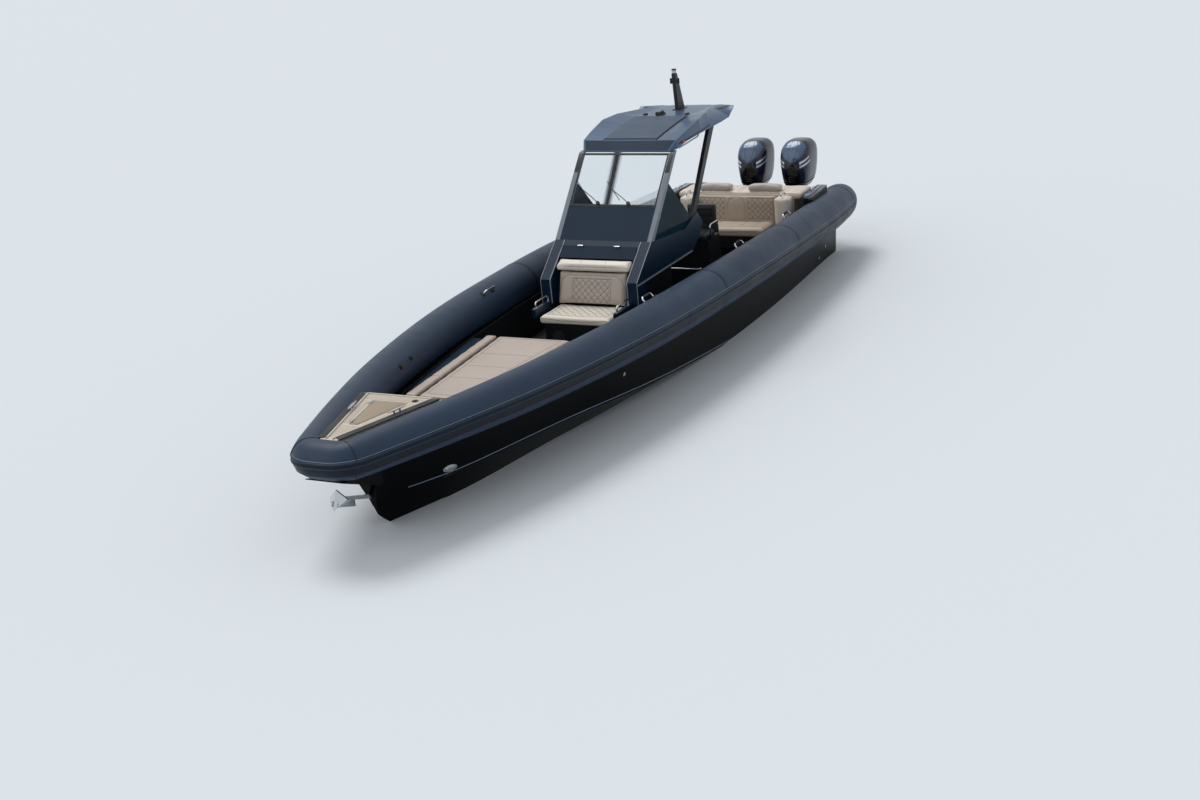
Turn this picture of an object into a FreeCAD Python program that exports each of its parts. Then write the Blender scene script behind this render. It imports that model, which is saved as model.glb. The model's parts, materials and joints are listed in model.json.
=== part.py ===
import FreeCAD, Part
import Sketcher
import math
import os

# Rigid inflatable boat with a console, hard top and twin outboard engines.
# Frame: +X to the bow, +Y to port, +Z up; origin amidships on the centreline at the waterline.
# All lengths are in millimetres.

Vector = FreeCAD.Vector
doc = FreeCAD.newDocument("InflatableBoat")
sheet = doc.addObject("Spreadsheet::Sheet", "Sizes")


class Size:
    """A length with its value and the sheet expression that gives it."""

    def __init__(self, value, text):
        self.value = float(value)
        self.text = text

    def __float__(self):
        return self.value

    def join(self, other, sign, value):
        return Size(value, "(%s %s %s)" % (self.text, sign, text_of(other)))

    def __add__(self, other):
        return self.join(other, "+", self.value + float(other))

    def __radd__(self, other):
        return self + other

    def __sub__(self, other):
        return self.join(other, "-", self.value - float(other))

    def __rsub__(self, other):
        return -self + other

    def __mul__(self, other):
        return self.join(other, "*", self.value * float(other))

    def __rmul__(self, other):
        return self * other

    def __truediv__(self, other):
        return self.join(other, "/", self.value / float(other))

    def __neg__(self):
        return Size(-self.value, "(0 - %s)" % self.text)


def text_of(number):
    return number.text if isinstance(number, Size) else repr(float(number))


class Table:
    """Sizes by name."""


# name, value in millimetres, what it is
LENGTHS = (
    ("bond_gap", 0.5, "glue line between the air tubes and what carries them"),
    ("seat_gap", 0.3, "clearance under a cushion"),
    ("sole_level", 350, "cockpit floor above the waterline"),
    ("liner_gap", 6, "deck moulding off the tubes' inner side"),
    ("liner_wall", 30, "thickness of the deck moulding"),
    ("liner_top", 830, "top of the cockpit sides"),
    ("transom_x", -5450, "outer face of the transom"),
    ("transom_wall", 120, "thickness of the transom where the engines hang"),
    ("transom_top", 600, "top of the transom"),
    ("well_floor", 420, "floor of the engine well"),
    ("well_half", 760, "half width of the engine well"),
    ("cockpit_aft", -4930, "aft end of the cockpit moulding"),
    ("cockpit_fore", 4600, "bulkhead under the foredeck"),
    ("nose_x", 5895, "centre of the cross tube at the bow"),
    ("nose_half", 215, "half length of the cross tube"),
    ("cap_length", 520, "length of the rounded stern end of a tube"),
    ("cap_end_radius", 90, "radius of the flat patch on the stern end"),
    ("rail_height", 76, "height of the rubbing strake"),
    ("rail_depth", 16, "how far the strake stands out"),
    ("foredeck_top", 1160, "top of the foredeck"),
    ("foredeck_low", 870, "underside of the foredeck moulding"),
    ("foredeck_front_x", 5835, "front edge of the foredeck"),
    ("foredeck_front_half", 95, "half width of the front edge"),
    ("foredeck_rear_half", 455, "half width of the rear edge"),
    ("lid_rear_x", 4780, "rear edge of the anchor locker lid"),
    ("lid_front_x", 5420, "front edge of the lid"),
    ("lid_rear_half", 205, "half width of the lid's rear edge"),
    ("lid_front_half", 45, "half width of the lid's front edge"),
    ("lid_thick", 22, "thickness of the lid"),
    ("lid_gap", 6, "joint round the lid"),
    ("lid_ledge", 26, "ledge that carries the lid"),
    ("locker_depth", 240, "depth of the anchor locker"),
    ("knuckle_radius", 8, "radius of a hinge knuckle"),
    ("sundeck_rear_x", 1880, "rear edge of the bow sun deck"),
    ("sundeck_top", 850, "top of the sun deck moulding"),
    ("sundeck_side_gap", 45, "gap between the sun deck and the cockpit side"),
    ("pad_thick", 60, "thickness of the sun deck pads"),
    ("pad_rear_half", 640, "half width of the pads at the rear"),
    ("pad_front_half", 385, "half width of the pads at the front"),
    ("pad_front_x", 4560, "front edge of the pads"),
    ("pad_border", 150, "width of the border pad"),
    ("pad_joint", 12, "joint between two pads"),
    ("pad_soft", 14, "rounding of the sun deck pads"),
    ("front_pad", 620, "length of the foremost pad"),
    ("console_half", 660, "half width of the console shell"),
    ("pod_half", 560, "half width of the console foot"),
    ("arm_thick", 140, "thickness of the console arms beside the seat"),
    ("wing_thick", 60, "thickness of the console sides behind the dash"),
    ("console_front_x", 490, "front face of the console arms"),
    ("console_low", 1120, "lower edge of the console shell"),
    ("arm_low", 870, "lower end of the arms"),
    ("arm_knee", 1170, "height where the arms turn back"),
    ("console_locker_half", 430, "half width of the locker in the console"),
    ("seat_front_x", 950, "front edge of the forward seat"),
    ("seat_base_top", 745, "top of the forward seat's base"),
    ("seat_base_half", 420, "half width of the forward seat's base"),
    ("seat_top", 845, "top of the forward seat cushion"),
    ("seat_half", 490, "half width of the forward seat cushion"),
    ("backrest_top", 1250, "top of the forward backrest"),
    ("backrest_half", 480, "half width of the forward backrest"),
    ("backrest_thick", 95, "thickness of the forward backrest"),
    ("headrest_half", 500, "half width of the headrest"),
    ("seat_soft", 22, "rounding of the forward seat's cushions"),
    ("rail_reach", 430, "length of a rail beside the forward seat"),
    ("rail_inner", 525, "inner face of a seat rail from the centreline"),
    ("rail_outer", 575, "outer face of a seat rail"),
    ("screen_base_x", 10, "foot of the windscreen"),
    ("screen_base_z", 1550, "height of the windscreen's foot"),
    ("screen_top_x", -830, "top of the windscreen"),
    ("screen_top_z", 2460, "height of the windscreen's top"),
    ("panel_share", 0.385, "share of the windscreen that is the dark panel"),
    ("screen_thick", 12, "thickness of the windscreen"),
    ("pillar_thick", 60, "width of a windscreen pillar across the boat"),
    ("pillar_depth", 85, "depth of a pillar fore and aft"),
    ("glass_thick", 10, "thickness of the side windows"),
    ("pane_top", 2140, "highest point of a side window"),
    ("helm_rear_x", -2480, "rear edge of the helm seats' base"),
    ("helm_front_x", -2080, "front edge of the helm seats' base"),
    ("helm_top", 1010, "top of the helm seats' base"),
    ("helm_half", 470, "half width of the helm seats' base"),
    ("helm_inner", 20, "inner edge of a helm cushion from the centreline"),
    ("helm_outer", 460, "outer edge of a helm cushion"),
    ("dash_x", -600, "front of the dash"),
    ("dash_half", 590, "half width of the dash"),
    ("dash_top", 1600, "top of the dash hood"),
    ("helm_y", -220, "steering wheel off the centreline"),
    ("wheel_radius", 180, "radius of the steering wheel"),
    ("wheel_rim", 15, "radius of the wheel's rim"),
    ("wheel_stand", 100, "wheel off the dash face"),
    ("roof_skin", 15, "thickness of the hard top's outer edge"),
    ("hatch_half", 362, "half width of the raised roof panel"),
    ("hatch_rise", 12, "rise of the roof panel"),
    ("mast_foot_x", -2640, "aft edge of the mast's foot"),
    ("mast_height", 540, "height of the mast above the hard top"),
    ("mast_thick", 50, "thickness of the mast"),
    ("lamp_height", 60, "height of the light on the mast"),
    ("bench_half", 620, "half width of the stern bench"),
    ("bench_front_x", -3700, "front edge of the stern bench seat"),
    ("bench_base_top", 630, "top of the stern bench base"),
    ("bench_seat_thick", 130, "thickness of the bench cushion"),
    ("aft_box_x", -4330, "front face of the aft locker"),
    ("aft_box_rear", -4880, "rear face of the aft locker"),
    ("aft_box_top", 1040, "top of the aft locker"),
    ("aft_box_gap", 34, "clearance from the aft locker to the cockpit side"),
    ("aft_pad_half", 980, "half width of the aft sun pad"),
    ("aft_pad_thick", 110, "thickness of the aft sun pad"),
    ("engine_spacing", 700, "distance between the engines"),
    ("steer_x", -5720, "steering axis"),
    ("tilt_x", -5575, "tilt axis"),
    ("tilt_z", 640, "height of the tilt axis"),
    ("tilt_pin", 20, "radius of the tilt tube"),
    ("steer_pin", 30, "radius of the steering shaft"),
    ("steer_tube", 46, "radius of the swivel tube"),
    ("fit", 0.05, "running clearance of a pin"),
    ("plate_gap", 100, "inner face of a clamp plate from the engine's centre"),
    ("plate_thick", 14, "thickness of a clamp plate"),
    ("prop_z", -780, "height of the propeller shaft"),
    ("prop_front_x", -6165, "front face of the propeller hub"),
    ("prop_length", 130, "length of the propeller hub"),
    ("prop_radius", 190, "radius over the blades"),
    ("hub_radius", 52, "radius of the propeller hub"),
    ("prop_shaft", 14, "radius of the propeller shaft"),
    ("prop_pitch", 530, "advance of a blade in one turn"),
    ("blade_thick", 11, "thickness of a blade at its root"),
)

S = Table()
row = 0
for name, value, meaning in LENGTHS:
    row += 1
    sheet.set("A%d" % row, meaning)
    sheet.set("B%d" % row, str(value))
    sheet.setAlias("B%d" % row, name)
    setattr(S, name, Size(value, "Sizes." + name))


def station_sizes(prefix, columns, rows):
    """Writes a table of stations to the sheet and returns its rows as Tables."""
    global row
    stations = []
    for number, values in enumerate(rows, 1):
        station = Table()
        for column, value in zip(columns, values):
            row += 1
            alias = "%s_%s_%s" % (prefix, column, "abcdefghijklm"[number - 1])
            sheet.set("B%d" % row, str(value))
            sheet.setAlias("B%d" % row, alias)
            setattr(station, column, Size(value, "Sizes." + alias))
        stations.append(station)
    return stations


# centreline of the port air tube, from the stern: place, height and radius
TUBE = station_sizes("tube", ("x", "y", "z", "radius"), (
    (-5400, 1130, 745, 270),
    (-4600, 1222, 778, 270),
    (-3400, 1290, 828, 270),
    (-1400, 1350, 910, 270),
    (600, 1280, 940, 268),
    (2100, 1150, 960, 255),
    (3600, 890, 970, 235),
    (4800, 570, 978, 214),
    (5895, 215, 980, 190),
))

# hull sections from the stern: keel, chine and top edge, and the top's own place (raked bow)
HULL = station_sizes("hull", ("keel_x", "keel_z", "chine_y", "chine_z", "top_x", "top_y", "top_z"), (
    (-5450, -540, 1000, -170, -5450, 1090, 640),
    (-3400, -590, 1060, -130, -3400, 1250, 720),
    (-1400, -600, 1090, -40, -1400, 1310, 810),
    (600, -600, 1060, 130, 600, 1240, 840),
    (2100, -580, 930, 270, 2100, 1110, 860),
    (3500, -500, 650, 330, 3550, 860, 870),
    (4400, -340, 400, 335, 4560, 610, 870),
    (4930, -100, 190, 340, 5080, 400, 870),
    (5250, 150, 40, 345, 5460, 215, 870),
))

# hard top sections from the front: crown, ridge, outer edge and underside
ROOF = station_sizes("roof", ("x", "crown_z", "ridge_y", "ridge_z", "edge_y", "edge_z", "under_z"), (
    (-836, 2484, 588, 2484, 598, 2482, 2466),
    (-955, 2592, 645, 2596, 660, 2504, 2487),
    (-1200, 2628, 667, 2653, 674, 2545, 2524),
    (-1600, 2674, 683, 2735, 690, 2566, 2545),
    (-1930, 2703, 630, 2751, 690, 2572, 2551),
    (-2300, 2700, 522, 2733, 690, 2578, 2557),
    (-2560, 2696, 437, 2710, 690, 2592, 2566),
    (-2750, 2690, 371, 2690, 684, 2698, 2632),
    (-2900, 2680, 319, 2676, 430, 2682, 2655),
))
doc.recompute()

pieces = []


def keep(item, label):
    """Names a sub-part that is written out."""
    item.Label = label
    pieces.append(item)
    return item


def bind(item, sizes):
    for name, size in sizes.items():
        item.setExpression(name, text_of(size))


def new_body(label):
    item = doc.addObject("PartDesign::Body", label)
    item.Label = label
    return item


def outline(body, plane, points, lift=0):
    """A closed sketch of straight lines, each corner held from the origin."""
    drawing = body.newObject("Sketcher::SketchObject", "Outline")
    base = [item for item in body.Origin.OriginFeatures if item.Role == plane + "_Plane"][0]
    drawing.AttachmentSupport = [(base, "")]
    drawing.MapMode = "FlatFace"
    count = len(points)
    for i in range(count):
        start = Vector(float(points[i][0]), float(points[i][1]), 0)
        end = Vector(float(points[(i + 1) % count][0]), float(points[(i + 1) % count][1]), 0)
        drawing.addGeometry(Part.LineSegment(start, end), False)
    for i in range(count):
        drawing.addConstraint(Sketcher.Constraint("Coincident", i, 2, (i + 1) % count, 1))
    for i, corner in enumerate(points):
        for kind, size in zip(("DistanceX", "DistanceY"), corner):
            index = drawing.addConstraint(Sketcher.Constraint(kind, -1, 1, i, 1, float(size)))
            if isinstance(size, Size):
                drawing.setExpression("Constraints[%d]" % index, size.text)
    if isinstance(lift, Size) or lift:
        drawing.setExpression("AttachmentOffset.Base.z", text_of(lift))
    return drawing


def extrude(body, drawing, length, both=False):
    pad = body.newObject("PartDesign::Pad", "Pad")
    pad.Profile = drawing
    if both:
        pad.SideType = "Symmetric"
    pad.setExpression("Length", text_of(length))
    return pad


def cut_through(body, drawing, width):
    """Cuts a profile out of a body, the same distance each side of the profile's plane."""
    pocket = body.newObject("PartDesign::Pocket", "Pocket")
    pocket.Profile = drawing
    pocket.SideType = "Symmetric"
    pocket.setExpression("Length", text_of(width))
    return pocket


def side_profile(label, points, half):
    """A piece drawn from the side and as wide to port as to starboard."""
    body = new_body(label)
    extrude(body, outline(body, "XZ", points), half * 2, both=True)
    return body


def flat_plate(label, points, low, high):
    """A piece drawn from above, between two levels."""
    body = new_body(label)
    extrude(body, outline(body, "XY", points, low), high - low)
    return body


def side_plate(label, points, near, thick):
    """A piece drawn from the side, from one distance off the centreline outwards to port."""
    body = new_body(label)
    extrude(body, outline(body, "XZ", points, -(near + thick)), thick)
    return body


def block(label, x, y, z):
    """A rectangular piece between two places each way."""
    return flat_plate(label, ((x[0], y[0]), (x[1], y[0]), (x[1], y[1]), (x[0], y[1])), z[0], z[1])


def soften(body, radius):
    """Rounds every edge of a piece."""
    doc.recompute()
    form = body.Tip
    fillet = body.newObject("PartDesign::Fillet", "Soft")
    fillet.Base = (form, ["Edge1"])
    fillet.UseAllEdges = True
    fillet.setExpression("Radius", text_of(radius))
    body.Tip = fillet
    return body


def both_sides(label, source):
    """The piece and its mirror image across the centreline, as one sub-part."""
    twin = doc.addObject("Part::Mirroring", label + "_twin")
    twin.Source = source
    twin.Normal = Vector(0, 1, 0)
    pair = doc.addObject("Part::Compound", label)
    pair.Links = [source, twin]
    return pair


def made(label, shape):
    item = doc.addObject("Part::Feature", label)
    item.Shape = shape
    return item


def boolean(kind, label, base, tool):
    item = doc.addObject("Part::" + kind, label)
    item.Base = base
    item.Tool = tool
    return item


def fused(label, items):
    item = doc.addObject("Part::MultiFuse", label)
    item.Shapes = items
    return item


def between(a, b, share):
    return a + (b - a) * share


def share_at(a, b, x):
    return float((x - a) / (b - a))


# Air tubes

def place_of(station):
    return Vector(station.x.value, station.y.value, station.z.value)


def tube_direction(i):
    before = TUBE[max(i - 1, 0)]
    after = TUBE[min(i + 1, len(TUBE) - 1)]
    return (place_of(after) - place_of(before)).normalize()


def ring(centre, direction, radius):
    """A circle in four arcs that start at its side, so that a run of rings doesn't twist."""
    along = Vector(direction).normalize()
    side = Vector(-along.y, along.x, 0)
    if side.Length < 0.01:
        side = Vector(0, 1, 0)
    side.normalize()
    up = along.cross(side)
    corners = [centre + (side * math.cos(a) + up * math.sin(a)) * radius for a in
               (k * math.pi / 4 for k in range(8))]
    arcs = [Part.Arc(corners[k], corners[k + 1], corners[(k + 2) % 8]).toShape() for k in (0, 2, 4, 6)]
    return Part.Wire(arcs)


def stern_cap(root, direction, radius, end_radius):
    """The rounded stern end, an arc turned about the tube's own direction."""
    fullness = 0.66
    side = Vector(-direction.y, direction.x, 0).normalize()
    back = direction * -S.cap_length.value
    rim = root + side * radius
    shoulder = root + back * fullness + side * between(end_radius, radius, fullness)
    end = root + back + side * end_radius
    lines = [
        Part.makeLine(end, root + back),
        Part.makeLine(root + back, root),
        Part.makeLine(root, rim),
    ]
    profile = Part.Wire([Part.Arc(rim, shoulder, end).toShape()] + lines)
    return Part.Face(profile).revolve(root, direction, 360)


def side_tube(grow):
    """The port tube with its stern cap, its radius made larger by grow."""
    rings = []
    for i, station in enumerate(TUBE):
        rings.append(ring(place_of(station), tube_direction(i), station.radius.value + grow))
    run = Part.makeLoft(rings, True, False)
    radius = TUBE[0].radius.value + grow
    cap = stern_cap(place_of(TUBE[0]), tube_direction(0), radius, S.cap_end_radius.value + grow)
    return run.fuse(cap).removeSplitter()


def nose_tube(grow):
    """The cross tube that joins the two side tubes at the bow."""
    last = TUBE[-1]
    radius = last.radius.value + grow
    half = S.nose_half.value
    start = Vector(S.nose_x.value, -half, last.z.value)
    shape = Part.makeCylinder(radius, 2 * half, start, Vector(0, 1, 0))
    for side in (-1, 1):
        shape = shape.fuse(Part.makeSphere(radius, Vector(S.nose_x.value, side * half, last.z.value)))
    return shape.removeSplitter()


def mirrored(shape):
    return shape.mirror(Vector(0, 0, 0), Vector(0, 1, 0))


gap = S.bond_gap.value
collar_bow = keep(made("collar_bow", nose_tube(0)), "collar_bow")
nose_space = nose_tube(gap)
port_tube = side_tube(0).cut(nose_space)
keep(made("collar_port", port_tube), "collar_port")
keep(made("collar_starboard", mirrored(port_tube)), "collar_starboard")
grown_tube = side_tube(gap)
collar_space = made("collar_space", Part.makeCompound([grown_tube, mirrored(grown_tube), nose_space]))


# Rubbing strake round the outside of the tubes

def strake_section(centre, outward, radius):
    up = Vector(0, 0, S.rail_height.value / 2)
    inner = centre + outward * (radius - gap * 4)
    outer = centre + outward * (radius + S.rail_depth.value)
    slim = up * 0.62
    return Part.makePolygon([inner - up, outer - slim, outer + slim, inner + up, inner - up])


def strake():
    sections = []
    for i, station in enumerate(TUBE):
        along = tube_direction(i)
        outward = Vector(-along.y, along.x, 0).normalize()
        sections.append(strake_section(place_of(station), outward, station.radius.value))
    side = Part.makeLoft(sections, True, False)
    last = TUBE[-1]
    corner = place_of(last)
    start = math.degrees(math.atan2(outward.y, outward.x))
    steps = 5
    turns = []
    for k in range(steps + 1):
        angle = math.radians(start * (1 - k / steps))
        turns.append(strake_section(corner, Vector(math.cos(angle), math.sin(angle), 0), last.radius.value))
    middle = Vector(corner.x, 0, corner.z)
    turns.append(strake_section(middle, Vector(1, 0, 0), last.radius.value))
    half = side.fuse(Part.makeLoft(turns, True, True))
    whole = half.fuse(mirrored(half))
    return whole.cut(collar_space.Shape)


keep(made("rubbing_strake", strake()), "rubbing_strake")


# Hull: a deep V with a stepped spray rail and a flat chine

SPRAY_SHARE = 0.52
SPRAY_STEP = 34
CHINE_STEP = 46


def hull_section(station, slim):
    """Half section of keel, spray rail, chine flat and topside, mirrored to a closed wire."""
    keel = (0.0, station.keel_z.value)
    chine = (station.chine_y.value, station.chine_z.value)
    rail = (chine[0] * SPRAY_SHARE, keel[1] + (chine[1] - keel[1]) * SPRAY_SHARE)
    half = [
        keel,
        rail,
        (rail[0] + SPRAY_STEP * slim, rail[1] + 2 * slim),
        (chine[0], chine[1]),
        (chine[0] + CHINE_STEP * slim, chine[1] - 4 * slim),
        (station.top_y.value, station.top_z.value),
    ]
    rake = (station.top_x.value - station.keel_x.value) / (station.top_z.value - station.keel_z.value)
    loop = half + [(-y, z) for y, z in reversed(half[1:])]
    points = [Vector(station.keel_x.value + (z - keel[1]) * rake, y, z) for y, z in loop]
    return Part.makePolygon(points + points[:1])


slims = (1, 1, 1, 1, 1, 0.9, 0.7, 0.45, 0.12)
sections = [hull_section(station, slim) for station, slim in zip(HULL, slims)]
hull_form = made("hull_form", Part.makeLoft(sections, True, False))


def cockpit_corners(inset, aft, fore):
    """The cockpit seen from above: along the inner side of the tubes, less an inset."""
    port = [(aft, inner_edge(TUBE[0], TUBE[1], aft) - inset)]
    for station in TUBE[1:7]:
        port.append((station.x, station.y - station.radius - inset))
    port.append((fore, inner_edge(TUBE[6], TUBE[7], fore) - inset))
    return port + [(x, -y) for x, y in reversed(port)]


def inner_edge(a, b, x):
    """Distance of the tube's inner side from the centreline, between two stations."""
    share = share_at(a.x, b.x, x)
    return between(a.y, b.y, share) - between(a.radius, b.radius, share)


liner_corners = cockpit_corners(S.liner_gap, S.cockpit_aft, S.cockpit_fore)
well_space = flat_plate("well_space", liner_corners, S.sole_level - S.liner_wall, S.foredeck_top)
engine_space = side_profile("engine_space", (
    (S.transom_x - 10, S.transom_top),
    (S.transom_x + S.transom_wall, S.transom_top),
    (S.transom_x + S.transom_wall + 60, S.well_floor),
    (S.cockpit_aft - 30, S.well_floor),
    (S.cockpit_aft - 30, S.foredeck_low),
    (S.transom_x - 10, S.foredeck_low),
), S.well_half)
hull_tools = fused("hull_tools", [well_space, engine_space])
hull_open = boolean("Cut", "hull_open", hull_form, hull_tools)
keep(boolean("Cut", "hull", hull_open, collar_space), "hull")

# cockpit moulding: a flat sole and the sides that stand round it
sole_inset = S.liner_gap + S.liner_wall
sole_aft = S.cockpit_aft + S.liner_wall
sole_fore = S.cockpit_fore - S.liner_wall
sole_low = S.sole_level - S.liner_wall
inner_corners = cockpit_corners(sole_inset, sole_aft, sole_fore)
keep(flat_plate("deck_sole", inner_corners, sole_low, S.sole_level), "deck_sole")
liner = flat_plate("deck_liner", liner_corners, sole_low, S.liner_top)
tub = liner.newObject("PartDesign::Pocket", "Tub")
tub_corners = cockpit_corners(sole_inset - S.seat_gap, sole_aft - S.seat_gap, sole_fore + S.seat_gap)
tub.Profile = outline(liner, "XY", tub_corners, S.liner_top)
tub.Type = "ThroughAll"
keep(liner, "deck_liner")


# Foredeck with the anchor locker

foredeck_form = flat_plate("foredeck_form", (
    (S.foredeck_front_x, S.foredeck_front_half),
    (S.cockpit_fore, S.foredeck_rear_half),
    (S.cockpit_fore, -S.foredeck_rear_half),
    (S.foredeck_front_x, -S.foredeck_front_half),
), S.foredeck_low + S.seat_gap, S.foredeck_top)
nose_block = side_profile("nose_block", (
    (S.foredeck_front_x - 460, 560),
    (S.foredeck_front_x - 400, 560),
    (S.foredeck_front_x + 150, 800),
    (S.foredeck_front_x + 150, S.foredeck_low),
    (S.foredeck_front_x - 460, S.foredeck_low),
), S.nose_half)


def lid_corners(grow):
    return (
        (S.lid_front_x + grow, S.lid_front_half + grow),
        (S.lid_rear_x - grow, S.lid_rear_half + grow),
        (S.lid_rear_x - grow, -(S.lid_rear_half + grow)),
        (S.lid_front_x + grow, -(S.lid_front_half + grow)),
    )


def hinge_line(reach):
    """A point on the lid's hinge line, reach being its share of the way forward."""
    x = between(S.lid_rear_x, S.lid_front_x, reach)
    y = -(between(S.lid_rear_half, S.lid_front_half, reach) + S.lid_gap / 2)
    return Vector(x.value, y.value, S.foredeck_top.value + S.knuckle_radius.value)


KNUCKLE_LENGTH = 34
KNUCKLE_GAP = 0.6
LEAF_WIDTH = 34
LEAF_THICK = 5
HINGE_PLACES = (0.07, 0.86)


def knuckle(place, shift, length, side):
    """A knuckle with its leaf, side being +1 on the lid and -1 on the deck."""
    forward = (hinge_line(1) - hinge_line(0)).normalize()
    across = Vector(-forward.y, forward.x, 0)
    start = hinge_line(place) + forward * shift
    radius = S.knuckle_radius.value
    barrel = Part.makeCylinder(radius, length, start, forward)
    near = start + Vector(0, 0, -radius)
    ahead = near + forward * length
    far = across * (side * LEAF_WIDTH)
    leaf = Part.Face(Part.makePolygon([near, ahead, ahead + far, near + far, near]))
    return barrel.fuse(leaf.extrude(Vector(0, 0, LEAF_THICK))).removeSplitter()


over_deck = S.foredeck_top + 50
lid_low = S.foredeck_top - S.lid_thick
locker = flat_plate("locker", lid_corners(-S.lid_ledge), S.foredeck_top - S.locker_depth, over_deck)
lid_seat = flat_plate("lid_seat", lid_corners(S.lid_gap), lid_low - S.seat_gap, over_deck)
deck_knuckles = []
lid_knuckles = []
for place in HINGE_PLACES:
    lid_knuckles.append(knuckle(place, 0, KNUCKLE_LENGTH, 1))
    for shift in (-KNUCKLE_LENGTH / 2 - KNUCKLE_GAP, KNUCKLE_LENGTH + KNUCKLE_GAP):
        deck_knuckles.append(knuckle(place, shift, KNUCKLE_LENGTH / 2, -1))
foredeck_cut = boolean("Cut", "foredeck_cut", foredeck_form, fused("locker_tools", [locker, lid_seat]))
foredeck_seated = boolean("Cut", "foredeck_seated", foredeck_cut, collar_space)
foredeck_clear = boolean("Cut", "foredeck_clear", foredeck_seated, hull_form)
nose_seated = boolean("Cut", "nose_seated", nose_block, collar_space)
keep(boolean("Cut", "bow_fairing", nose_seated, hull_form), "bow_fairing")
hinges_fixed = made("hinges_fixed", deck_knuckles[0].multiFuse(deck_knuckles[1:]))
keep(fused("foredeck", [foredeck_clear, hinges_fixed]), "foredeck")
lid_plate = flat_plate("lid_plate", lid_corners(0), lid_low, S.foredeck_top)
hinges_moving = made("hinges_moving", lid_knuckles[0].fuse(lid_knuckles[1]))
keep(fused("anchor_lid", [lid_plate, hinges_moving]), "anchor_lid")


# Round bars bent to shape: handles, rails and cleats

def bar(points, radius, bend):
    """A round bar along straight runs with tangent arcs of one bend radius."""
    edges = []
    at = points[0]
    for before, corner, after in zip(points, points[1:], points[2:]):
        a = (before - corner).normalize()
        b = (after - corner).normalize()
        half_turn = a.getAngle(b) / 2
        setback = bend / math.tan(half_turn)
        start = corner + a * setback
        end = corner + b * setback
        inward = (a + b).normalize()
        middle = corner + inward * (bend / math.sin(half_turn) - bend)
        edges.append(Part.LineSegment(at, start).toShape())
        edges.append(Part.Arc(start, middle, end).toShape())
        at = end
    edges.append(Part.LineSegment(at, points[-1]).toShape())
    path = Part.Wire(edges)
    profile = ring(points[0], points[1] - points[0], radius)
    return path.makePipeShell([profile], True, True)


def cleat(centre, heading):
    """A horned mooring cleat, 230 long, on two feet."""
    along = Vector(math.cos(heading), math.sin(heading), 0)
    shape = Part.makeCylinder(10, 40, centre - along * 38, Vector(0, 0, 1))
    shape = shape.fuse(Part.makeCylinder(10, 40, centre + along * 38, Vector(0, 0, 1)))
    top = Vector(0, 0, 46)
    horn = Part.makeCone(13, 6, 115, centre + top, along)
    horn = horn.fuse(Part.makeCone(13, 6, 115, centre + top, along * -1))
    return shape.fuse(horn).removeSplitter()


CLEAT_X = 5060
CLEAT_Y = 262
cleat_foot = Vector(CLEAT_X, CLEAT_Y, S.foredeck_top.value)
edge_run = hinge_line(0) - hinge_line(1)
heading = math.atan2(-edge_run.y, edge_run.x)
port_cleat = cleat(cleat_foot, heading)
keep(made("bow_cleats", Part.makeCompound([port_cleat, mirrored(port_cleat)])), "bow_cleats")

# grab handles on the inner side of the tubes, at three places a side
HANDLE_PLACES = (1050, -1490, -3360)
HANDLE_HALF = 115
HANDLE_RISE = 62
HANDLE_ANGLE = 52
HANDLE_ROOT = 30
HANDLE_BAR = 11
HANDLE_BEND = 40


def tube_at(x):
    for a, b in zip(TUBE, TUBE[1:]):
        if a.x.value <= x <= b.x.value:
            t = share_at(a.x, b.x, x)
            return [between(getattr(a, k), getattr(b, k), t).value for k in ("y", "z", "radius")]
    return None


def grab_handle(x):
    y, z, radius = tube_at(x)
    lean = math.radians(180 - HANDLE_ANGLE)
    out = Vector(0, math.cos(lean), math.sin(lean))
    foot = Vector(x, y, z) + out * (radius - HANDLE_ROOT)
    rise = out * (HANDLE_RISE + HANDLE_ROOT)
    rear = foot - Vector(HANDLE_HALF, 0, 0)
    fore = foot + Vector(HANDLE_HALF, 0, 0)
    shape = bar([rear, rear + rise, fore + rise, fore], HANDLE_BAR, HANDLE_BEND)
    return shape.cut(collar_space.Shape)


handles = [grab_handle(x) for x in HANDLE_PLACES]
handles += [mirrored(shape) for shape in handles]
keep(made("grab_handles", Part.makeCompound(handles)), "grab_handles")


# Anchor on its arm through the stem

def plough_fluke(side):
    """One folded blade of the anchor as a thin wedge."""
    ridge = [Vector(5925, 0, 470), Vector(5840, 0, 655)]
    wing = Vector(5815, side * 100, 560)
    face = Part.Face(Part.makePolygon([ridge[0], ridge[1], wing, ridge[0]]))
    return face.extrude(Vector(-14, 0, 0))


arm = Part.makeBox(600, 34, 40, Vector(5300, -17, 350))
arm.rotate(Vector(5300, 0, 370), Vector(0, 1, 0), -20)
anchor_shape = arm.fuse([plough_fluke(-1), plough_fluke(1)])
anchor_form = made("anchor_form", anchor_shape)
anchor_clear = boolean("Cut", "anchor_clear", anchor_form, hull_form)
keep(boolean("Cut", "anchor", anchor_clear, nose_block), "anchor")


# Bow sun deck and its pads

base_corners = cockpit_corners(sole_inset + S.sundeck_side_gap, S.cockpit_aft, sole_fore)
base_full = flat_plate("base_full", base_corners, S.sole_level, S.sundeck_top)
base_keep = block("base_keep", (S.sundeck_rear_x, sole_fore), (-1500, 1500), (0, 2000))
keep(boolean("Common", "sundeck_base", base_full, base_keep), "sundeck_base")


def pad_half(x, inset):
    t = (x - S.sundeck_rear_x) / (S.pad_front_x - S.sundeck_rear_x)
    return between(S.pad_rear_half, S.pad_front_half, t) - inset


pad_low = S.sundeck_top + S.seat_gap
pad_high = S.sundeck_top + S.pad_thick
front_x = S.pad_front_x - S.front_pad
split_x = front_x - S.pad_joint
split = S.pad_border + S.pad_joint


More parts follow.
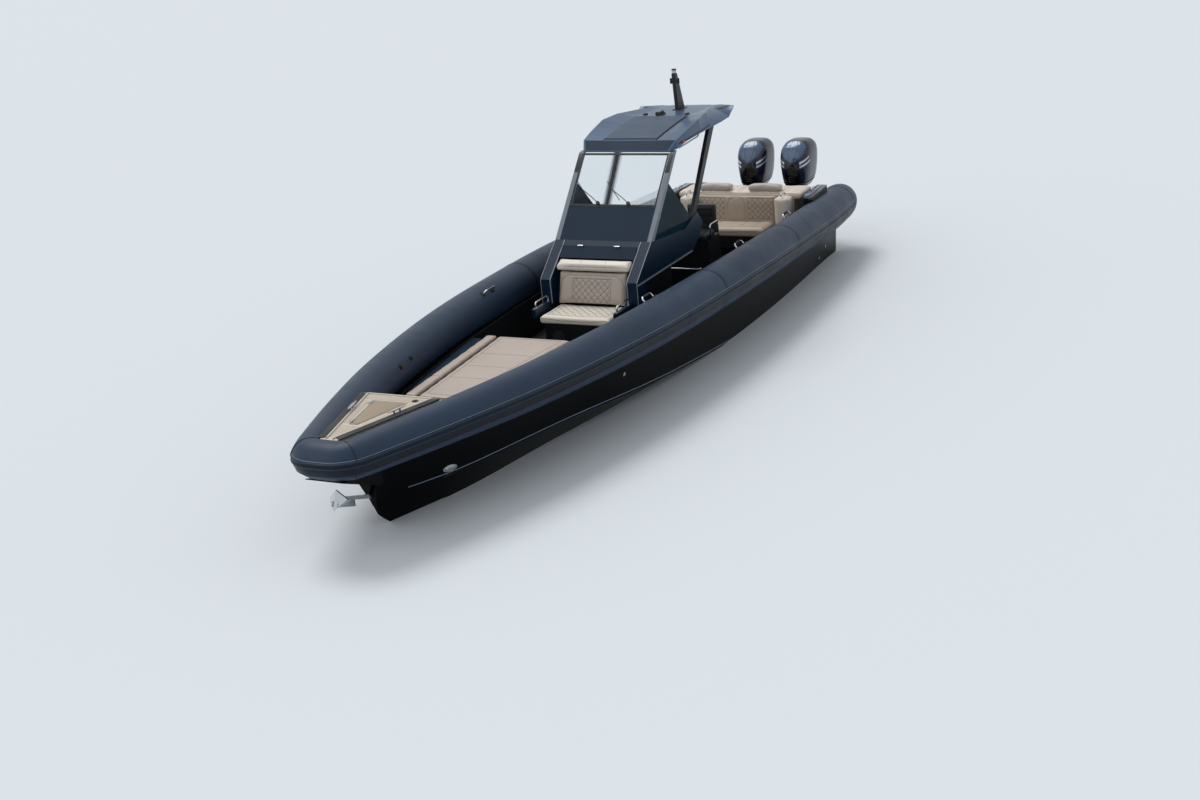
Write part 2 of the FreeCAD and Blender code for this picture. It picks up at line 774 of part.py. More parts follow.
def pad_strip(label, x0, x1, outer, inner, side):
    """A pad from its outer inset to its inner one, the inner edge on the given side."""
    corners = (
        (x0, pad_half(x0, outer)),
        (x1, pad_half(x1, outer)),
        (x1, pad_half(x1, inner) * side),
        (x0, pad_half(x0, inner) * side),
    )
    return soften(flat_plate(label, corners, pad_low, pad_high), S.pad_soft)


border = pad_strip("border", S.sundeck_rear_x, split_x, 0, S.pad_border, 1)
centre = pad_strip("centre", S.sundeck_rear_x, split_x, split, split, -1)
front = pad_strip("front", front_x, S.pad_front_x, 0, 0, -1)
border_pair = both_sides("border_pair", border)
pads = doc.addObject("Part::Compound", "sundeck_pads")
pads.Links = [border_pair, centre, front]
keep(pads, "sundeck_pads")


# Console

SCREEN_RUN = (S.screen_top_x - S.screen_base_x) / (S.screen_top_z - S.screen_base_z)


def screen_x(z):
    """The windscreen's outer face at a level."""
    return S.screen_base_x + (z - S.screen_base_z) * SCREEN_RUN


pod_front = S.console_front_x - 120
keep(side_profile("console_pod", (
    (pod_front, S.sole_level),
    (pod_front, S.arm_low),
    (pod_front - 120, S.arm_low),
    (pod_front - 120, S.console_low),
    (S.dash_x - 100, S.console_low),
    (S.dash_x - 60, S.sole_level),
), S.pod_half), "console_pod")

# the console's upper edge runs down to a shoulder and up again to the ends of its sides
SHOULDER_X = -970
SHOULDER_DROP = -90
WING_X = -1380
WING_RISE = 40
shell = new_body("console_shell")
extrude(shell, outline(shell, "XZ", (
    (S.console_front_x, S.arm_low),
    (S.console_front_x, S.arm_knee),
    (S.screen_base_x, S.screen_base_z),
    (SHOULDER_X, S.screen_base_z + SHOULDER_DROP),
    (WING_X, S.screen_base_z + WING_RISE),
    (-1540, S.screen_base_z - 130),
    (-1420, S.console_low + 160),
    (-1160, S.console_low),
    (pod_front - 120, S.console_low),
    (pod_front - 120, S.arm_low),
)), S.console_half * 2, both=True)
RECESS_TOP = (S.screen_base_x + 85, S.screen_base_z - 50)
RECESS_MID = (S.screen_base_x + 195, S.screen_base_z - 185)
doc.recompute()
cut_through(shell, outline(shell, "XZ", (
    (S.console_front_x + 100, S.arm_low - 100),
    (S.console_front_x - 120, S.arm_low - 100),
    (S.console_front_x - 120, S.arm_low),
    RECESS_MID,
    RECESS_TOP,
    (S.screen_base_x + 90, S.screen_base_z + 100),
    (S.console_front_x + 100, S.screen_base_z + 100),
)), (S.console_half - S.arm_thick) * 2)
doc.recompute()
cut_through(shell, outline(shell, "XZ", (
    (S.dash_x, S.console_low - 50),
    (S.dash_x, S.screen_base_z + 100),
    (S.dash_x - 1200, S.screen_base_z + 100),
    (S.dash_x - 1200, S.console_low - 50),
)), (S.console_half - S.wing_thick) * 2)
doc.recompute()
cut_through(shell, outline(shell, "XZ", (
    (RECESS_MID[0] + 20, RECESS_MID[1] + 22),
    (RECESS_TOP[0] + 8, RECESS_TOP[1] - 24),
    (RECESS_TOP[0] - 260, RECESS_TOP[1] - 24),
    (RECESS_TOP[0] - 260, RECESS_MID[1] - 120),
    (RECESS_MID[0] - 50, RECESS_MID[1] - 120),
)), S.console_locker_half * 2)
keep(shell, "console_shell")

# locker lid between the arms: a plate on the recess's slope, hinged along its top edge
PLATE_THICK = 20
PLATE_TOP = 6
PLATE_FOOT = 4
BARREL_RADIUS = 7.5
BARREL_LENGTH = 70
BARREL_Y = 250
slope = Vector((RECESS_MID[0] - RECESS_TOP[0]).value, 0, (RECESS_MID[1] - RECESS_TOP[1]).value)
slope_length = slope.Length
lid_run = Vector(slope).normalize()
lid_up = Vector(-lid_run.z, 0, lid_run.x)


def on_slope(along, up):
    """A point of the side view, measured down the slope from its top and off its face."""
    return (
        RECESS_TOP[0] + lid_run.x * along + lid_up.x * up,
        RECESS_TOP[1] + lid_run.z * along + lid_up.z * up,
    )


console_lid = side_profile("console_lid_plate", (
    on_slope(PLATE_TOP, S.seat_gap),
    on_slope(slope_length - PLATE_FOOT, S.seat_gap),
    on_slope(slope_length - PLATE_FOOT, PLATE_THICK),
    on_slope(PLATE_TOP, PLATE_THICK),
), S.console_half - S.arm_thick - 12)
pin_x, pin_z = on_slope(PLATE_TOP, PLATE_THICK + BARREL_RADIUS - 0.5)
barrels = []
for side in (-1, 1):
    barrel_start = Vector(pin_x.value, side * BARREL_Y - BARREL_LENGTH / 2, pin_z.value)
    barrels.append(Part.makeCylinder(BARREL_RADIUS, BARREL_LENGTH, barrel_start, Vector(0, 1, 0)))
lid_barrels = made("console_lid_barrels", Part.makeCompound(barrels))
keep(fused("console_lid", [console_lid, lid_barrels]), "console_lid")

# seat in front of the console
seat_base = side_profile("front_seat_base", (
    (pod_front + S.seat_gap, S.sole_level),
    (S.seat_front_x - 90, S.sole_level),
    (S.seat_front_x - 40, S.sole_level + 110),
    (S.seat_front_x - 40, S.seat_base_top),
    (pod_front + S.seat_gap, S.seat_base_top),
), S.seat_base_half)
keep(seat_base, "front_seat_base")
cushion = side_profile("front_seat_cushion", (
    (pod_front + 10, S.seat_base_top + S.seat_gap),
    (S.seat_front_x, S.seat_base_top + S.seat_gap),
    (S.seat_front_x, S.seat_top),
    (pod_front + 10, S.seat_top),
), S.seat_half)
keep(soften(cushion, S.seat_soft), "front_seat_cushion")


def recess_face(z):
    """The slope behind the backrest at a level."""
    t = (z - S.arm_low) / (RECESS_MID[1] - S.arm_low)
    return between(S.console_front_x - 120, RECESS_MID[0], t)


back_low = S.seat_top + 3 + S.seat_gap
back_foot = recess_face(back_low) + 1
back_head = recess_face(S.backrest_top) + 1
backrest = side_profile("front_backrest", (
    (back_foot, back_low),
    (back_foot + S.backrest_thick, back_low),
    (back_head + S.backrest_thick, S.backrest_top),
    (back_head, S.backrest_top),
), S.backrest_half)
keep(soften(backrest, S.seat_soft), "front_backrest")
head_low = S.backrest_top + 2
head_high = RECESS_MID[1] + 12
head_foot = recess_face(head_low) + 1
head_top = recess_face(head_high) + 1
headrest = side_profile("front_headrest", (
    (head_foot, head_low),
    (head_foot + S.backrest_thick + 35, head_low),
    (head_foot + S.backrest_thick + 30, head_low + 70),
    (head_top + 60, head_high),
    (head_top, head_high),
), S.headrest_half)
keep(soften(headrest, S.seat_soft), "front_headrest")

# side rails that run forward from the console arms beside the seat
rail = block(
    "seat_rail",
    (S.console_front_x + S.seat_gap, S.console_front_x + S.rail_reach),
    (S.rail_inner, S.rail_outer),
    (S.arm_low - 60, S.arm_low + 45),
)
keep(both_sides("seat_rails", rail), "seat_rails")


# Windscreen, pillars and side windows

panel_top = between(S.screen_base_z, S.screen_top_z, S.panel_share)
screen_half = S.console_half - S.pillar_thick - S.seat_gap
screen_level = S.screen_thick * 1.35


def screen_strip(label, low, high):
    """A part of the windscreen between two levels, its thickness measured on the level."""
    return side_profile(label, (
        (screen_x(low), low),
        (screen_x(high), high),
        (screen_x(high) - screen_level, high),
        (screen_x(low) - screen_level, low),
    ), screen_half)


keep(screen_strip("windscreen_panel", S.screen_base_z + S.seat_gap, panel_top), "windscreen_panel")
keep(screen_strip("windscreen_glass", panel_top + 2, S.screen_top_z - 2), "windscreen_glass")
ROOF_RAKE = 0.16
pillar_foot = S.screen_base_z + SHOULDER_DROP * S.pillar_depth / (S.screen_base_x - SHOULDER_X) + S.seat_gap
pillar_top = S.screen_top_z + 2
pillar_rear_low = (screen_x(S.screen_base_z) - S.pillar_depth, pillar_foot)
pillar_rear_high = (screen_x(pillar_top) - S.pillar_depth, pillar_top + S.pillar_depth * ROOF_RAKE)
pillar = side_plate("pillar", (
    (screen_x(S.screen_base_z + S.seat_gap), S.screen_base_z + S.seat_gap),
    (screen_x(pillar_top), pillar_top),
    pillar_rear_high,
    pillar_rear_low,
), S.console_half - S.pillar_thick, S.pillar_thick)
keep(both_sides("pillars", pillar), "pillars")


def behind_pillar(z):
    """A point of the side window's front edge, just off the pillar's rear face."""
    share = share_at(pillar_rear_low[1], pillar_rear_high[1], z)
    return between(pillar_rear_low[0], pillar_rear_high[0], share) - S.seat_gap


pane = side_plate("pane", (
    (behind_pillar(S.screen_base_z.value - 6), S.screen_base_z - 6),
    (behind_pillar(S.pane_top), S.pane_top),
    (-1225, S.screen_base_z - 6),
    (SHOULDER_X, S.screen_base_z + SHOULDER_DROP + S.seat_gap),
), S.console_half - S.pillar_thick / 2, S.glass_thick)
keep(both_sides("side_windows", pane), "side_windows")


# Dash, steering wheel and engine control

FACE_LOW = (S.dash_x - 220, S.dash_top - 260)
FACE_HIGH = (S.dash_x - 40, S.dash_top + 20)
keep(side_profile("dash", (
    (S.dash_x - S.seat_gap, S.console_low + S.seat_gap),
    (S.dash_x - S.seat_gap, S.dash_top),
    FACE_HIGH,
    FACE_LOW,
    (S.dash_x - 160, S.console_low + S.seat_gap),
), S.dash_half), "dash")
face_run = Vector((FACE_LOW[0] - FACE_HIGH[0]).value, 0, (FACE_LOW[1] - FACE_HIGH[1]).value).normalize()
face_normal = Vector(face_run.z, 0, -face_run.x)
face_middle = Vector((FACE_LOW[0] + FACE_HIGH[0]).value / 2, 0, (FACE_LOW[1] + FACE_HIGH[1]).value / 2)
wheel_centre = face_middle + face_normal * S.wheel_stand.value + Vector(0, S.helm_y.value, 0)


def steering_wheel():
    """Rim, hub and three dished spokes, flat on the XY plane about the origin."""
    radius = S.wheel_radius.value
    rim = Part.makeTorus(radius, S.wheel_rim.value)
    hub = Part.makeCylinder(44, 30, Vector(0, 0, -45))
    shaft = Part.makeCylinder(15, S.wheel_stand.value - 46, Vector(0, 0, -S.wheel_stand.value + 1))
    shape = rim.fuse([hub, shaft])
    for k in range(3):
        angle = math.radians(120 * k - 90)
        end = Vector(radius * math.cos(angle), radius * math.sin(angle), 0)
        start = Vector(30 * math.cos(angle), 30 * math.sin(angle), -28)
        spoke = ring(start, end - start, 9)
        shape = shape.fuse(Part.Face(spoke).extrude(end - start))
    return shape.removeSplitter()


wheel = keep(made("steering_wheel", steering_wheel()), "steering_wheel")
wheel.Placement = FreeCAD.Placement(wheel_centre, FreeCAD.Rotation(Vector(0, 0, 1), face_normal))


def control_box():
    """Twin lever engine control on the dash face."""
    foot = Part.makeBox(90, 110, 45, Vector(-45, -55, 0.3))
    shape = foot
    for side in (-1, 1):
        stem = Part.makeCylinder(7, 95, Vector(0, side * 20, 45), Vector(0.2, 0, 1))
        grip = Part.makeCylinder(13, 34, Vector(20, side * 20 - 17 + side * 8, 138), Vector(0, 1, 0))
        shape = shape.fuse([stem, grip])
    return shape.removeSplitter()


throttle = keep(made("throttle", control_box()), "throttle")
throttle_place = face_middle + Vector(0, 60, 0)
throttle.Placement = FreeCAD.Placement(throttle_place, FreeCAD.Rotation(Vector(0, 0, 1), face_normal))


# Helm seats behind the console

HELM_SOFT = 24
keep(side_profile("helm_seat_base", (
    (S.helm_front_x - 60, S.sole_level),
    (S.helm_front_x, S.sole_level + 380),
    (S.helm_front_x, S.helm_top),
    (S.helm_rear_x, S.helm_top),
    (S.helm_rear_x, S.sole_level),
), S.helm_half), "helm_seat_base")
helm_y = (S.helm_inner, S.helm_outer)
helm_low = S.helm_top + S.seat_gap
seat_x = (S.helm_rear_x + 60, S.helm_front_x + 30)
seat_back_x = (S.helm_rear_x - 30, S.helm_rear_x + 58)
seat = block("helm_cushion", seat_x, helm_y, (helm_low, S.helm_top + 100))
seat_back = block("helm_back", seat_back_x, helm_y, (helm_low, S.helm_top + 430))
soften(seat, HELM_SOFT)
soften(seat_back, HELM_SOFT)
keep(both_sides("helm_seat_cushions", seat), "helm_seat_cushions")
keep(both_sides("helm_seat_backs", seat_back), "helm_seat_backs")


# Hard top, its raised panel, struts and mast

FLAT_SHARE = 0.9
FLAT_MARGIN = 14
EDGE_LIP = 20


def roof_section(station):
    """Flat middle, ridge, flank down to the outer edge and level underside, mirrored to a closed wire."""
    flat = min(station.ridge_y.value * FLAT_SHARE, S.hatch_half.value + FLAT_MARGIN)
    low = station.edge_z.value - S.roof_skin.value
    half = [
        (flat, station.crown_z.value),
        (station.ridge_y.value, station.ridge_z.value),
        (station.edge_y.value, station.edge_z.value),
        (station.edge_y.value, low),
        (station.edge_y.value - EDGE_LIP, min(low, station.under_z.value)),
        (flat * 0.7, station.under_z.value),
    ]
    loop = half + [(-y, z) for y, z in reversed(half)]
    points = [Vector(station.x.value, y, z) for y, z in loop]
    return Part.makePolygon(points + points[:1])


keep(made("hard_top", Part.makeLoft([roof_section(station) for station in ROOF], True, True)), "hard_top")


def roof_level(x, column):
    """A column of the hard top's table between two of its stations."""
    for a, b in zip(ROOF, ROOF[1:]):
        if b.x.value <= x <= a.x.value:
            return between(getattr(a, column), getattr(b, column), share_at(a.x, b.x, x))
    return getattr(ROOF[-1], column)


rise = S.hatch_rise + S.seat_gap
panel_places = [station.x for station in ROOF[1:5]]
panel_places[0] = panel_places[0] - 40
panel_line = [(x, roof_level(x.value, "crown_z") + S.seat_gap) for x in panel_places]
panel_over = [(x, roof_level(x.value, "crown_z") + rise) for x in reversed(panel_places)]
keep(side_profile("roof_panel", panel_line + panel_over, S.hatch_half), "roof_panel")

WING_SLOPE = (WING_RISE - SHOULDER_DROP) / (SHOULDER_X - WING_X)


def on_wing(x):
    """A point of the strut's foot, just over the edge of the console's side."""
    return (x, S.screen_base_z + SHOULDER_DROP + (SHOULDER_X - x) * WING_SLOPE + S.seat_gap)


def under_roof(x):
    """A point of the strut's head, just under the hard top."""
    return (x, roof_level(x, "under_z") - 1)


strut = side_plate("strut", (
    on_wing(-1245),
    under_roof(-1990),
    under_roof(-2140),
    on_wing(-1378),
), S.console_half - S.wing_thick, S.wing_thick - 10)
keep(both_sides("rear_struts", strut), "rear_struts")

mast_front = S.mast_foot_x + 200
mast_low = roof_level(mast_front.value, "crown_z") + S.seat_gap
mast_top = mast_low + S.mast_height
mast_bend = ROOF[6]
mast = side_profile("mast_blade", (
    (S.mast_foot_x, roof_level(S.mast_foot_x.value, "crown_z") + S.seat_gap),
    (mast_bend.x, mast_bend.crown_z + S.seat_gap),
    (mast_front, mast_low),
    (mast_front + 35, mast_top - S.lamp_height),
    (mast_front - 35, mast_top - S.lamp_height),
), S.mast_thick / 2)
lamp = doc.addObject("Part::Cylinder", "mast_lamp")
bind(lamp, {
    "Radius": S.mast_thick / 2 + 4,
    "Height": S.lamp_height,
    "Placement.Base.x": mast_front,
    "Placement.Base.z": mast_top - S.lamp_height,
})
keep(fused("mast", [mast, lamp]), "mast")


# Stern bench, aft locker, pads and quarter boxes

BENCH_SOFT = 24
back_x = S.aft_box_x
back_face = back_x + S.seat_gap
back_top = S.aft_box_top + 85
cushion_low = S.bench_base_top + S.seat_gap
keep(side_profile("bench_base", (
    (S.bench_front_x - 90, S.sole_level),
    (S.bench_front_x - 40, S.sole_level + 120),
    (S.bench_front_x - 40, S.bench_base_top),
    (back_face, S.bench_base_top),
    (back_face, S.sole_level),
), S.bench_half), "bench_base")
seat_top = S.bench_base_top + S.bench_seat_thick
bench = side_profile("bench_seat", (
    (S.bench_front_x, cushion_low),
    (S.bench_front_x, seat_top),
    (back_x + 125, seat_top),
    (back_x + 125, cushion_low),
), S.bench_half)
keep(soften(bench, BENCH_SOFT), "bench_seat")
bench_back = side_profile("bench_backrest", (
    (back_face, cushion_low),
    (back_x + 122, cushion_low),
    (back_x + 85, back_top),
    (back_face, back_top),
), S.bench_half)
keep(soften(bench_back, BENCH_SOFT), "bench_backrest")
aft_box_half = inner_edge(TUBE[0], TUBE[1], S.aft_box_rear) - S.liner_gap - S.liner_wall - S.aft_box_gap
return_pod = block(
    "return_pod",
    (back_face, back_x + 230),
    (S.bench_half + 2, aft_box_half),
    (S.sole_level + S.seat_gap, back_top),
)
keep(both_sides("bench_returns", soften(return_pod, 30)), "bench_returns")
aft_box_y = (-aft_box_half, aft_box_half)
keep(block("aft_locker", (S.aft_box_rear, back_x), aft_box_y, (S.sole_level, S.aft_box_top)), "aft_locker")
aft_pad = block(
    "aft_pad",
    (S.aft_box_rear + 45, back_x - 3),
    (-S.aft_pad_half, S.aft_pad_half),
    (S.aft_box_top + S.seat_gap, S.aft_box_top + S.aft_pad_thick),
)
keep(soften(aft_pad, 26), "aft_pad")
bolster_low = S.aft_box_top + S.aft_pad_thick + S.seat_gap
bolster = block("bolster", (back_x - 190, back_x - 30), (130, 640), (bolster_low, bolster_low + 95))
keep(both_sides("bench_bolsters", soften(bolster, 30)), "bench_bolsters")
QUARTER = ((-4990, 990), (-4980, 1130), (-4200, 1190), (-4120, 1150), (-4120, 1100), (-4300, 1000))
quarter = flat_plate("quarter_form", QUARTER, 900, 1120)
quarter_cut = boolean("Cut", "quarter_cut", quarter, collar_space)
keep(both_sides("quarter_boxes", quarter_cut), "quarter_boxes")


# Outboard engines: bracket, swivel, leg with gearcase, cowl and propeller

BRACKET = ((0.3, 160), (0.3, 690), (160, 690), (182, 560), (40, 160))


ACROSS = Vector(0, 1, 0)
AHEAD = Vector(1, 0, 0)


def tilt_bar(radius, half):
    """A round bar on the tilt axis, as long to each side."""
    start = Vector(S.tilt_x.value, -half, S.tilt_z.value)
    return Part.makeCylinder(radius, 2 * half, start, ACROSS)


def clamp_plate(near):
    points = [Vector(S.transom_x.value - x, near, z) for x, z in BRACKET]
    plate = Part.Face(Part.makePolygon(points + points[:1])).extrude(Vector(0, S.plate_thick.value, 0))
    return plate.cut(tilt_bar(S.tilt_pin.value + S.fit.value, 200))


def clamp_bracket():
    """Two side plates joined by a foot plate against the transom."""
    reach = S.plate_gap.value + 1
    foot = Part.makeBox(14, 2 * reach, 150, Vector(S.transom_x.value - 14.3, -reach, 200))
    port = clamp_plate(S.plate_gap.value)
    starboard = clamp_plate(-S.plate_gap.value - S.plate_thick.value)
    return starboard.fuse([port, foot]).removeSplitter()


def swivel():
    """Tilt tube, arm and steering tube in one casting."""
    tube = tilt_bar(S.tilt_pin.value, S.plate_gap.value + S.plate_thick.value + 6)
    sleeve = tilt_bar(34, S.plate_gap.value - 4)
    corner = Vector(S.steer_x.value, -60, S.tilt_z.value - 50)
    arm_box = Part.makeBox(S.tilt_x.value - S.steer_x.value, 120, 90, corner)
    post = Part.makeCylinder(S.steer_tube.value, 640, Vector(S.steer_x.value, 0, 60))
    bore = Part.makeCylinder(S.steer_pin.value + S.fit.value, 800, Vector(S.steer_x.value, 0, 0))
    return tube.fuse([sleeve, arm_box, post]).removeSplitter().cut(bore)


def lens(x_front, x_rear, half, z):
    """A pointed oval seen from above."""
    middle = (x_front + x_rear) / 2
    nose = Vector(x_front, 0, z)
    tail = Vector(x_rear, 0, z)
    return Part.Wire([
        Part.Arc(nose, Vector(middle, half, z), tail).toShape(),
        Part.Arc(tail, Vector(middle, -half, z), nose).toShape()])


# leg sections from the top: level, front and rear from the steering axis, half width
LEG = (
    (905, -78, -360, 120),
    (560, -82, -345, 96),
    (-60, -84, -330, 72),
    (-640, -66, -400, 40),
    (-760, -60, -420, 36),
)
# gearcase from its nose: place from the steering axis and radius; the last two are measured from its end
GEARCASE = ((40, 0), (-20, 40), (-120, 62))
GEARCASE_END = ((120, 66), (0, 54), (0, 0))
# ventilation plate seen from above, one side
VENT_PLATE = ((-40, 30), (-120, 105), (-420, 120), (-560, 95))
VENT_LEVEL = -560
# skeg from the side, its height measured from the propeller shaft
SKEG = ((-80, -30), (-330, -30), (-380, -235), (-290, -245))
YOKE_LEVELS = (708, -12)


def leg():
    axis = S.steer_x.value
    strut = Part.makeLoft([lens(axis + a, axis + b, half, z) for z, a, b, half in LEG], True, False)
    z = S.prop_z.value
    torpedo_end = S.prop_front_x.value + 0.5
    profile = [Vector(axis + x, 0, z + radius) for x, radius in GEARCASE]
    profile += [Vector(torpedo_end + x, 0, z + radius) for x, radius in GEARCASE_END]
    torpedo = Part.Face(Part.makePolygon(profile + profile[:1])).revolve(Vector(0, 0, z), AHEAD, 360)
    plate = [Vector(axis + x, y, VENT_LEVEL) for x, y in VENT_PLATE]
    plate += [Vector(p.x, -p.y, p.z) for p in reversed(plate)]
    ventilation = Part.Face(Part.makePolygon(plate + plate[:1])).extrude(Vector(0, 0, 14))
    skeg_line = [Vector(axis + x, -8, z + height) for x, height in SKEG]
    skeg = Part.Face(Part.makePolygon(skeg_line + skeg_line[:1])).extrude(Vector(0, 16, 0))
    shaft = Part.makeCylinder(S.steer_pin.value, 800, Vector(axis, 0, -10))
    yokes = [Part.makeBox(150, 110, 62, Vector(axis - 115, -55, low)) for low in YOKE_LEVELS]
    tail_start = Vector(torpedo_end + 20, 0, z)
    tail_shaft = Part.makeCylinder(S.prop_shaft.value, S.prop_length.value + 46, tail_start, AHEAD * -1)
    return strut.fuse([torpedo, ventilation, skeg, shaft, tail_shaft] + yokes).removeSplitter()


# cowl sections from the bottom: level, front and rear from the steering axis, half width, corner share
COWL = (
    (905.3, 60, -450, 165, 0.45),
    (1000, 84, -560, 205, 0.42),
    (1200, 92, -600, 226, 0.40),
    (1380, 62, -600, 236, 0.42),
    (1480, -10, -570, 224, 0.45),
    (1555, -110, -505, 176, 0.48),
    (1590, -165, -410, 128, 0.5),
)


def cowl():
    axis = S.steer_x.value
    wires = []
    for z, front, rear, half, corner in COWL:
        cut_y = half * corner
        cut_x = (front - rear) * corner * 0.55
        quarter_points = [(axis + front, half - cut_y), (axis + front - cut_x * 0.8, half),
                          (axis + rear + cut_x, half), (axis + rear, half - cut_y)]
        loop = quarter_points + [(x, -y) for x, y in reversed(quarter_points)]
        points = [Vector(x, y, z) for x, y in loop]
        wires.append(Part.makePolygon(points + points[:1]))
    return Part.makeLoft(wires, True, True)


# blade stations: share of the radius, chord, thickness share, sweep and rake backwards
BLADE = (
    (0.20, 120, 1.0, 0, 0),
    (0.45, 165, 0.75, -12, -8),
    (0.72, 185, 0.5, -34, -18),
    (0.93, 130, 0.34, -70, -26),
    (1.0, 52, 0.2, -95, -30),
)


def blade_section(share, chord, thick, sweep, rake):
    """A thin two-arc section at its own twist, square to the blade's length."""
    radius = share * S.prop_radius.value
    twist = math.atan2(S.prop_pitch.value, 2 * math.pi * radius)
    along = Vector(math.sin(twist), math.cos(twist), 0)
    across = Vector(math.cos(twist), -math.sin(twist), 0)
    middle = Vector(rake, 0, radius) + along * sweep
    half = along * (chord / 2)
    bulge = across * (S.blade_thick.value * thick / 2)
    return Part.Wire([
        Part.Arc(middle + half, middle + bulge, middle - half).toShape(),
        Part.Arc(middle - half, middle - bulge, middle + half).toShape()])


def propeller():
    """Hub with three swept and twisted blades, its shaft along X at the origin."""
    length = S.prop_length.value
    radius = S.hub_radius.value
    profile = [
        Vector(length / 2, 0, 0),
        Vector(length / 2, 0, radius),
        Vector(-length / 2 + 20, 0, radius * 1.02),
        Vector(-length / 2, 0, radius * 1.1),
        Vector(-length / 2, 0, 0),
    ]
    shape = Part.Face(Part.makePolygon(profile + profile[:1])).revolve(Vector(0, 0, 0), AHEAD, 360)
    blade = Part.makeLoft([blade_section(*station) for station in BLADE], True, False)
    for k in range(3):
        turned = blade.copy()
        turned.rotate(Vector(0, 0, 0), AHEAD, 120 * k)
        shape = shape.fuse(turned)
    bore = Part.makeCylinder(S.prop_shaft.value + S.fit.value, 2 * length, Vector(-length, 0, 0), AHEAD)
    return shape.cut(bore)


brackets = clamp_bracket()
half_spacing = Vector(0, S.engine_spacing.value / 2, 0)
pair = [brackets.translated(half_spacing), brackets.translated(half_spacing * -1)]
keep(made("clamp_brackets", Part.makeCompound(pair)), "clamp_brackets")
prop_centre = Vector(S.prop_front_x.value - S.prop_length.value / 2, 0, S.prop_z.value)
engine_parts = (
    ("swivel", swivel(), Vector(0, 0, 0)),
    ("leg", leg(), Vector(0, 0, 0)),
    ("cowl", cowl(), Vector(0, 0, 0)),
    ("propeller", propeller(), prop_centre),
)
for name, side in (("port", 1), ("starboard", -1)):
    for kind, shape, centre in engine_parts:
        item = made(kind + "_" + name, shape)
        item.Placement = FreeCAD.Placement(centre + half_spacing * side, FreeCAD.Rotation())
        keep(item, kind + "_" + name)

doc.recompute()

# checks, then one file for each sub-part
failed = [item for item in doc.Objects if "Invalid" in item.State or "Error" in item.State]
if failed:
    owners = [(item.getParentGeoFeatureGroup() or item).Label + "/" + item.Label for item in failed]
    raise RuntimeError("failed: " + ", ".join(owners))
os.makedirs("parts", exist_ok=True)
for item in pieces:
    shape = item.Shape
    if shape.isNull() or not shape.isValid() or not shape.Solids:
        raise RuntimeError("no sound solid: " + item.Label)
    box = shape.BoundBox
    print("%-20s %d solids  x %6.0f %6.0f  y %6.0f %6.0f  z %6.0f %6.0f" % (
        item.Label, len(shape.Solids), box.XMin, box.XMax, box.YMin, box.YMax, box.ZMin, box.ZMax))
    shape.exportStep("parts/" + item.Label + ".step")
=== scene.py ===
import json
import math

import bmesh
import bpy
import numpy
from mathutils import Matrix, Vector
from mathutils.bvhtree import BVHTree


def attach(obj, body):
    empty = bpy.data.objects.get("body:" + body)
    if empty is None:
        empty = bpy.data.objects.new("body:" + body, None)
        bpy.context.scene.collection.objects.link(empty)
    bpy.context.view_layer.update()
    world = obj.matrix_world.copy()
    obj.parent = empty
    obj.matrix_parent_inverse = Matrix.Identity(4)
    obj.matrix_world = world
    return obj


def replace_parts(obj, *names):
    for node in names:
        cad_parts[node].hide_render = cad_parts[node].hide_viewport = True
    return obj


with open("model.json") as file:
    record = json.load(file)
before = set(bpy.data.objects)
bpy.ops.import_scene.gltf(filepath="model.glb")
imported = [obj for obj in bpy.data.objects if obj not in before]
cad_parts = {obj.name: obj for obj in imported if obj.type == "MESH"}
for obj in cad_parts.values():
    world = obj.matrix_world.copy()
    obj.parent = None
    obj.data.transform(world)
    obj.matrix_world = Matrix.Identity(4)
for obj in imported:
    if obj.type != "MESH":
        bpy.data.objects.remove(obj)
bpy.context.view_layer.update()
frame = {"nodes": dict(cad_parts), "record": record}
nodes = frame["nodes"]
scene = bpy.context.scene
up = Vector((0, 0, 1))
ahead = Vector((1, 0, 0))
toPort = Vector((0, 1, 0))
bothSides = (-1, 1)

# Values to change

cameraView = {"place": (16.98, 8.98, 6.21), "heading": 208.56, "pitch": 19.27, "roll": -5.68, "lens": 48.18,
              "sensor": 36.0, "reach": 300.0}
studio = {"floor": "dce0e3", "floorSize": 150, "floorRough": 0.9, "floorShine": 0.1, "backdrop": "d9dde0",
          "fill": 0.66, "fillColour": "e9eef4",
          "lamps": {"keyLamp": {"way": (3.5, 5.5, -12), "power": 1.35, "spread": 28},
                    "bowLamp": {"way": (-9, 6, -7), "power": 0.5, "spread": 60}}}

# Stations of the air tube: place and radius, from the stern to the nose
tubeStations = (
    (-5.400, 1.130, 0.745, 0.270), (-4.600, 1.222, 0.778, 0.270), (-3.400, 1.290, 0.828, 0.270),
    (-1.400, 1.350, 0.910, 0.270), (0.600, 1.280, 0.940, 0.268), (2.100, 1.150, 0.960, 0.255),
    (3.600, 0.890, 0.970, 0.235), (4.800, 0.570, 0.978, 0.214), (5.895, 0.215, 0.980, 0.190),
)


# Materials

def toLinear(text):
    shares = [int(text[start:start + 2], 16) / 255 for start in (0, 2, 4)]
    return (*(share / 12.92 if share <= 0.04045 else ((share + 0.055) / 1.055) ** 2.4 for share in shares), 1.0)


def addNode(tree, kind, settings=None, sockets=None):
    # what goes into a socket may be a value or another node's output
    node = tree.nodes.new(kind)
    for key, value in (settings or {}).items():
        setattr(node, key, value)
    for key, value in (sockets or {}).items():
        if isinstance(value, bpy.types.NodeSocket):
            tree.links.new(value, node.inputs[key])
        else:
            node.inputs[key].default_value = value
    return node


def blendColours(tree, factor, first, second):
    first, second = (toLinear(each) if isinstance(each, str) else each for each in (first, second))
    return addNode(tree, "ShaderNodeMix", {"data_type": "RGBA"}, {0: factor, 6: first, 7: second}).outputs[2]


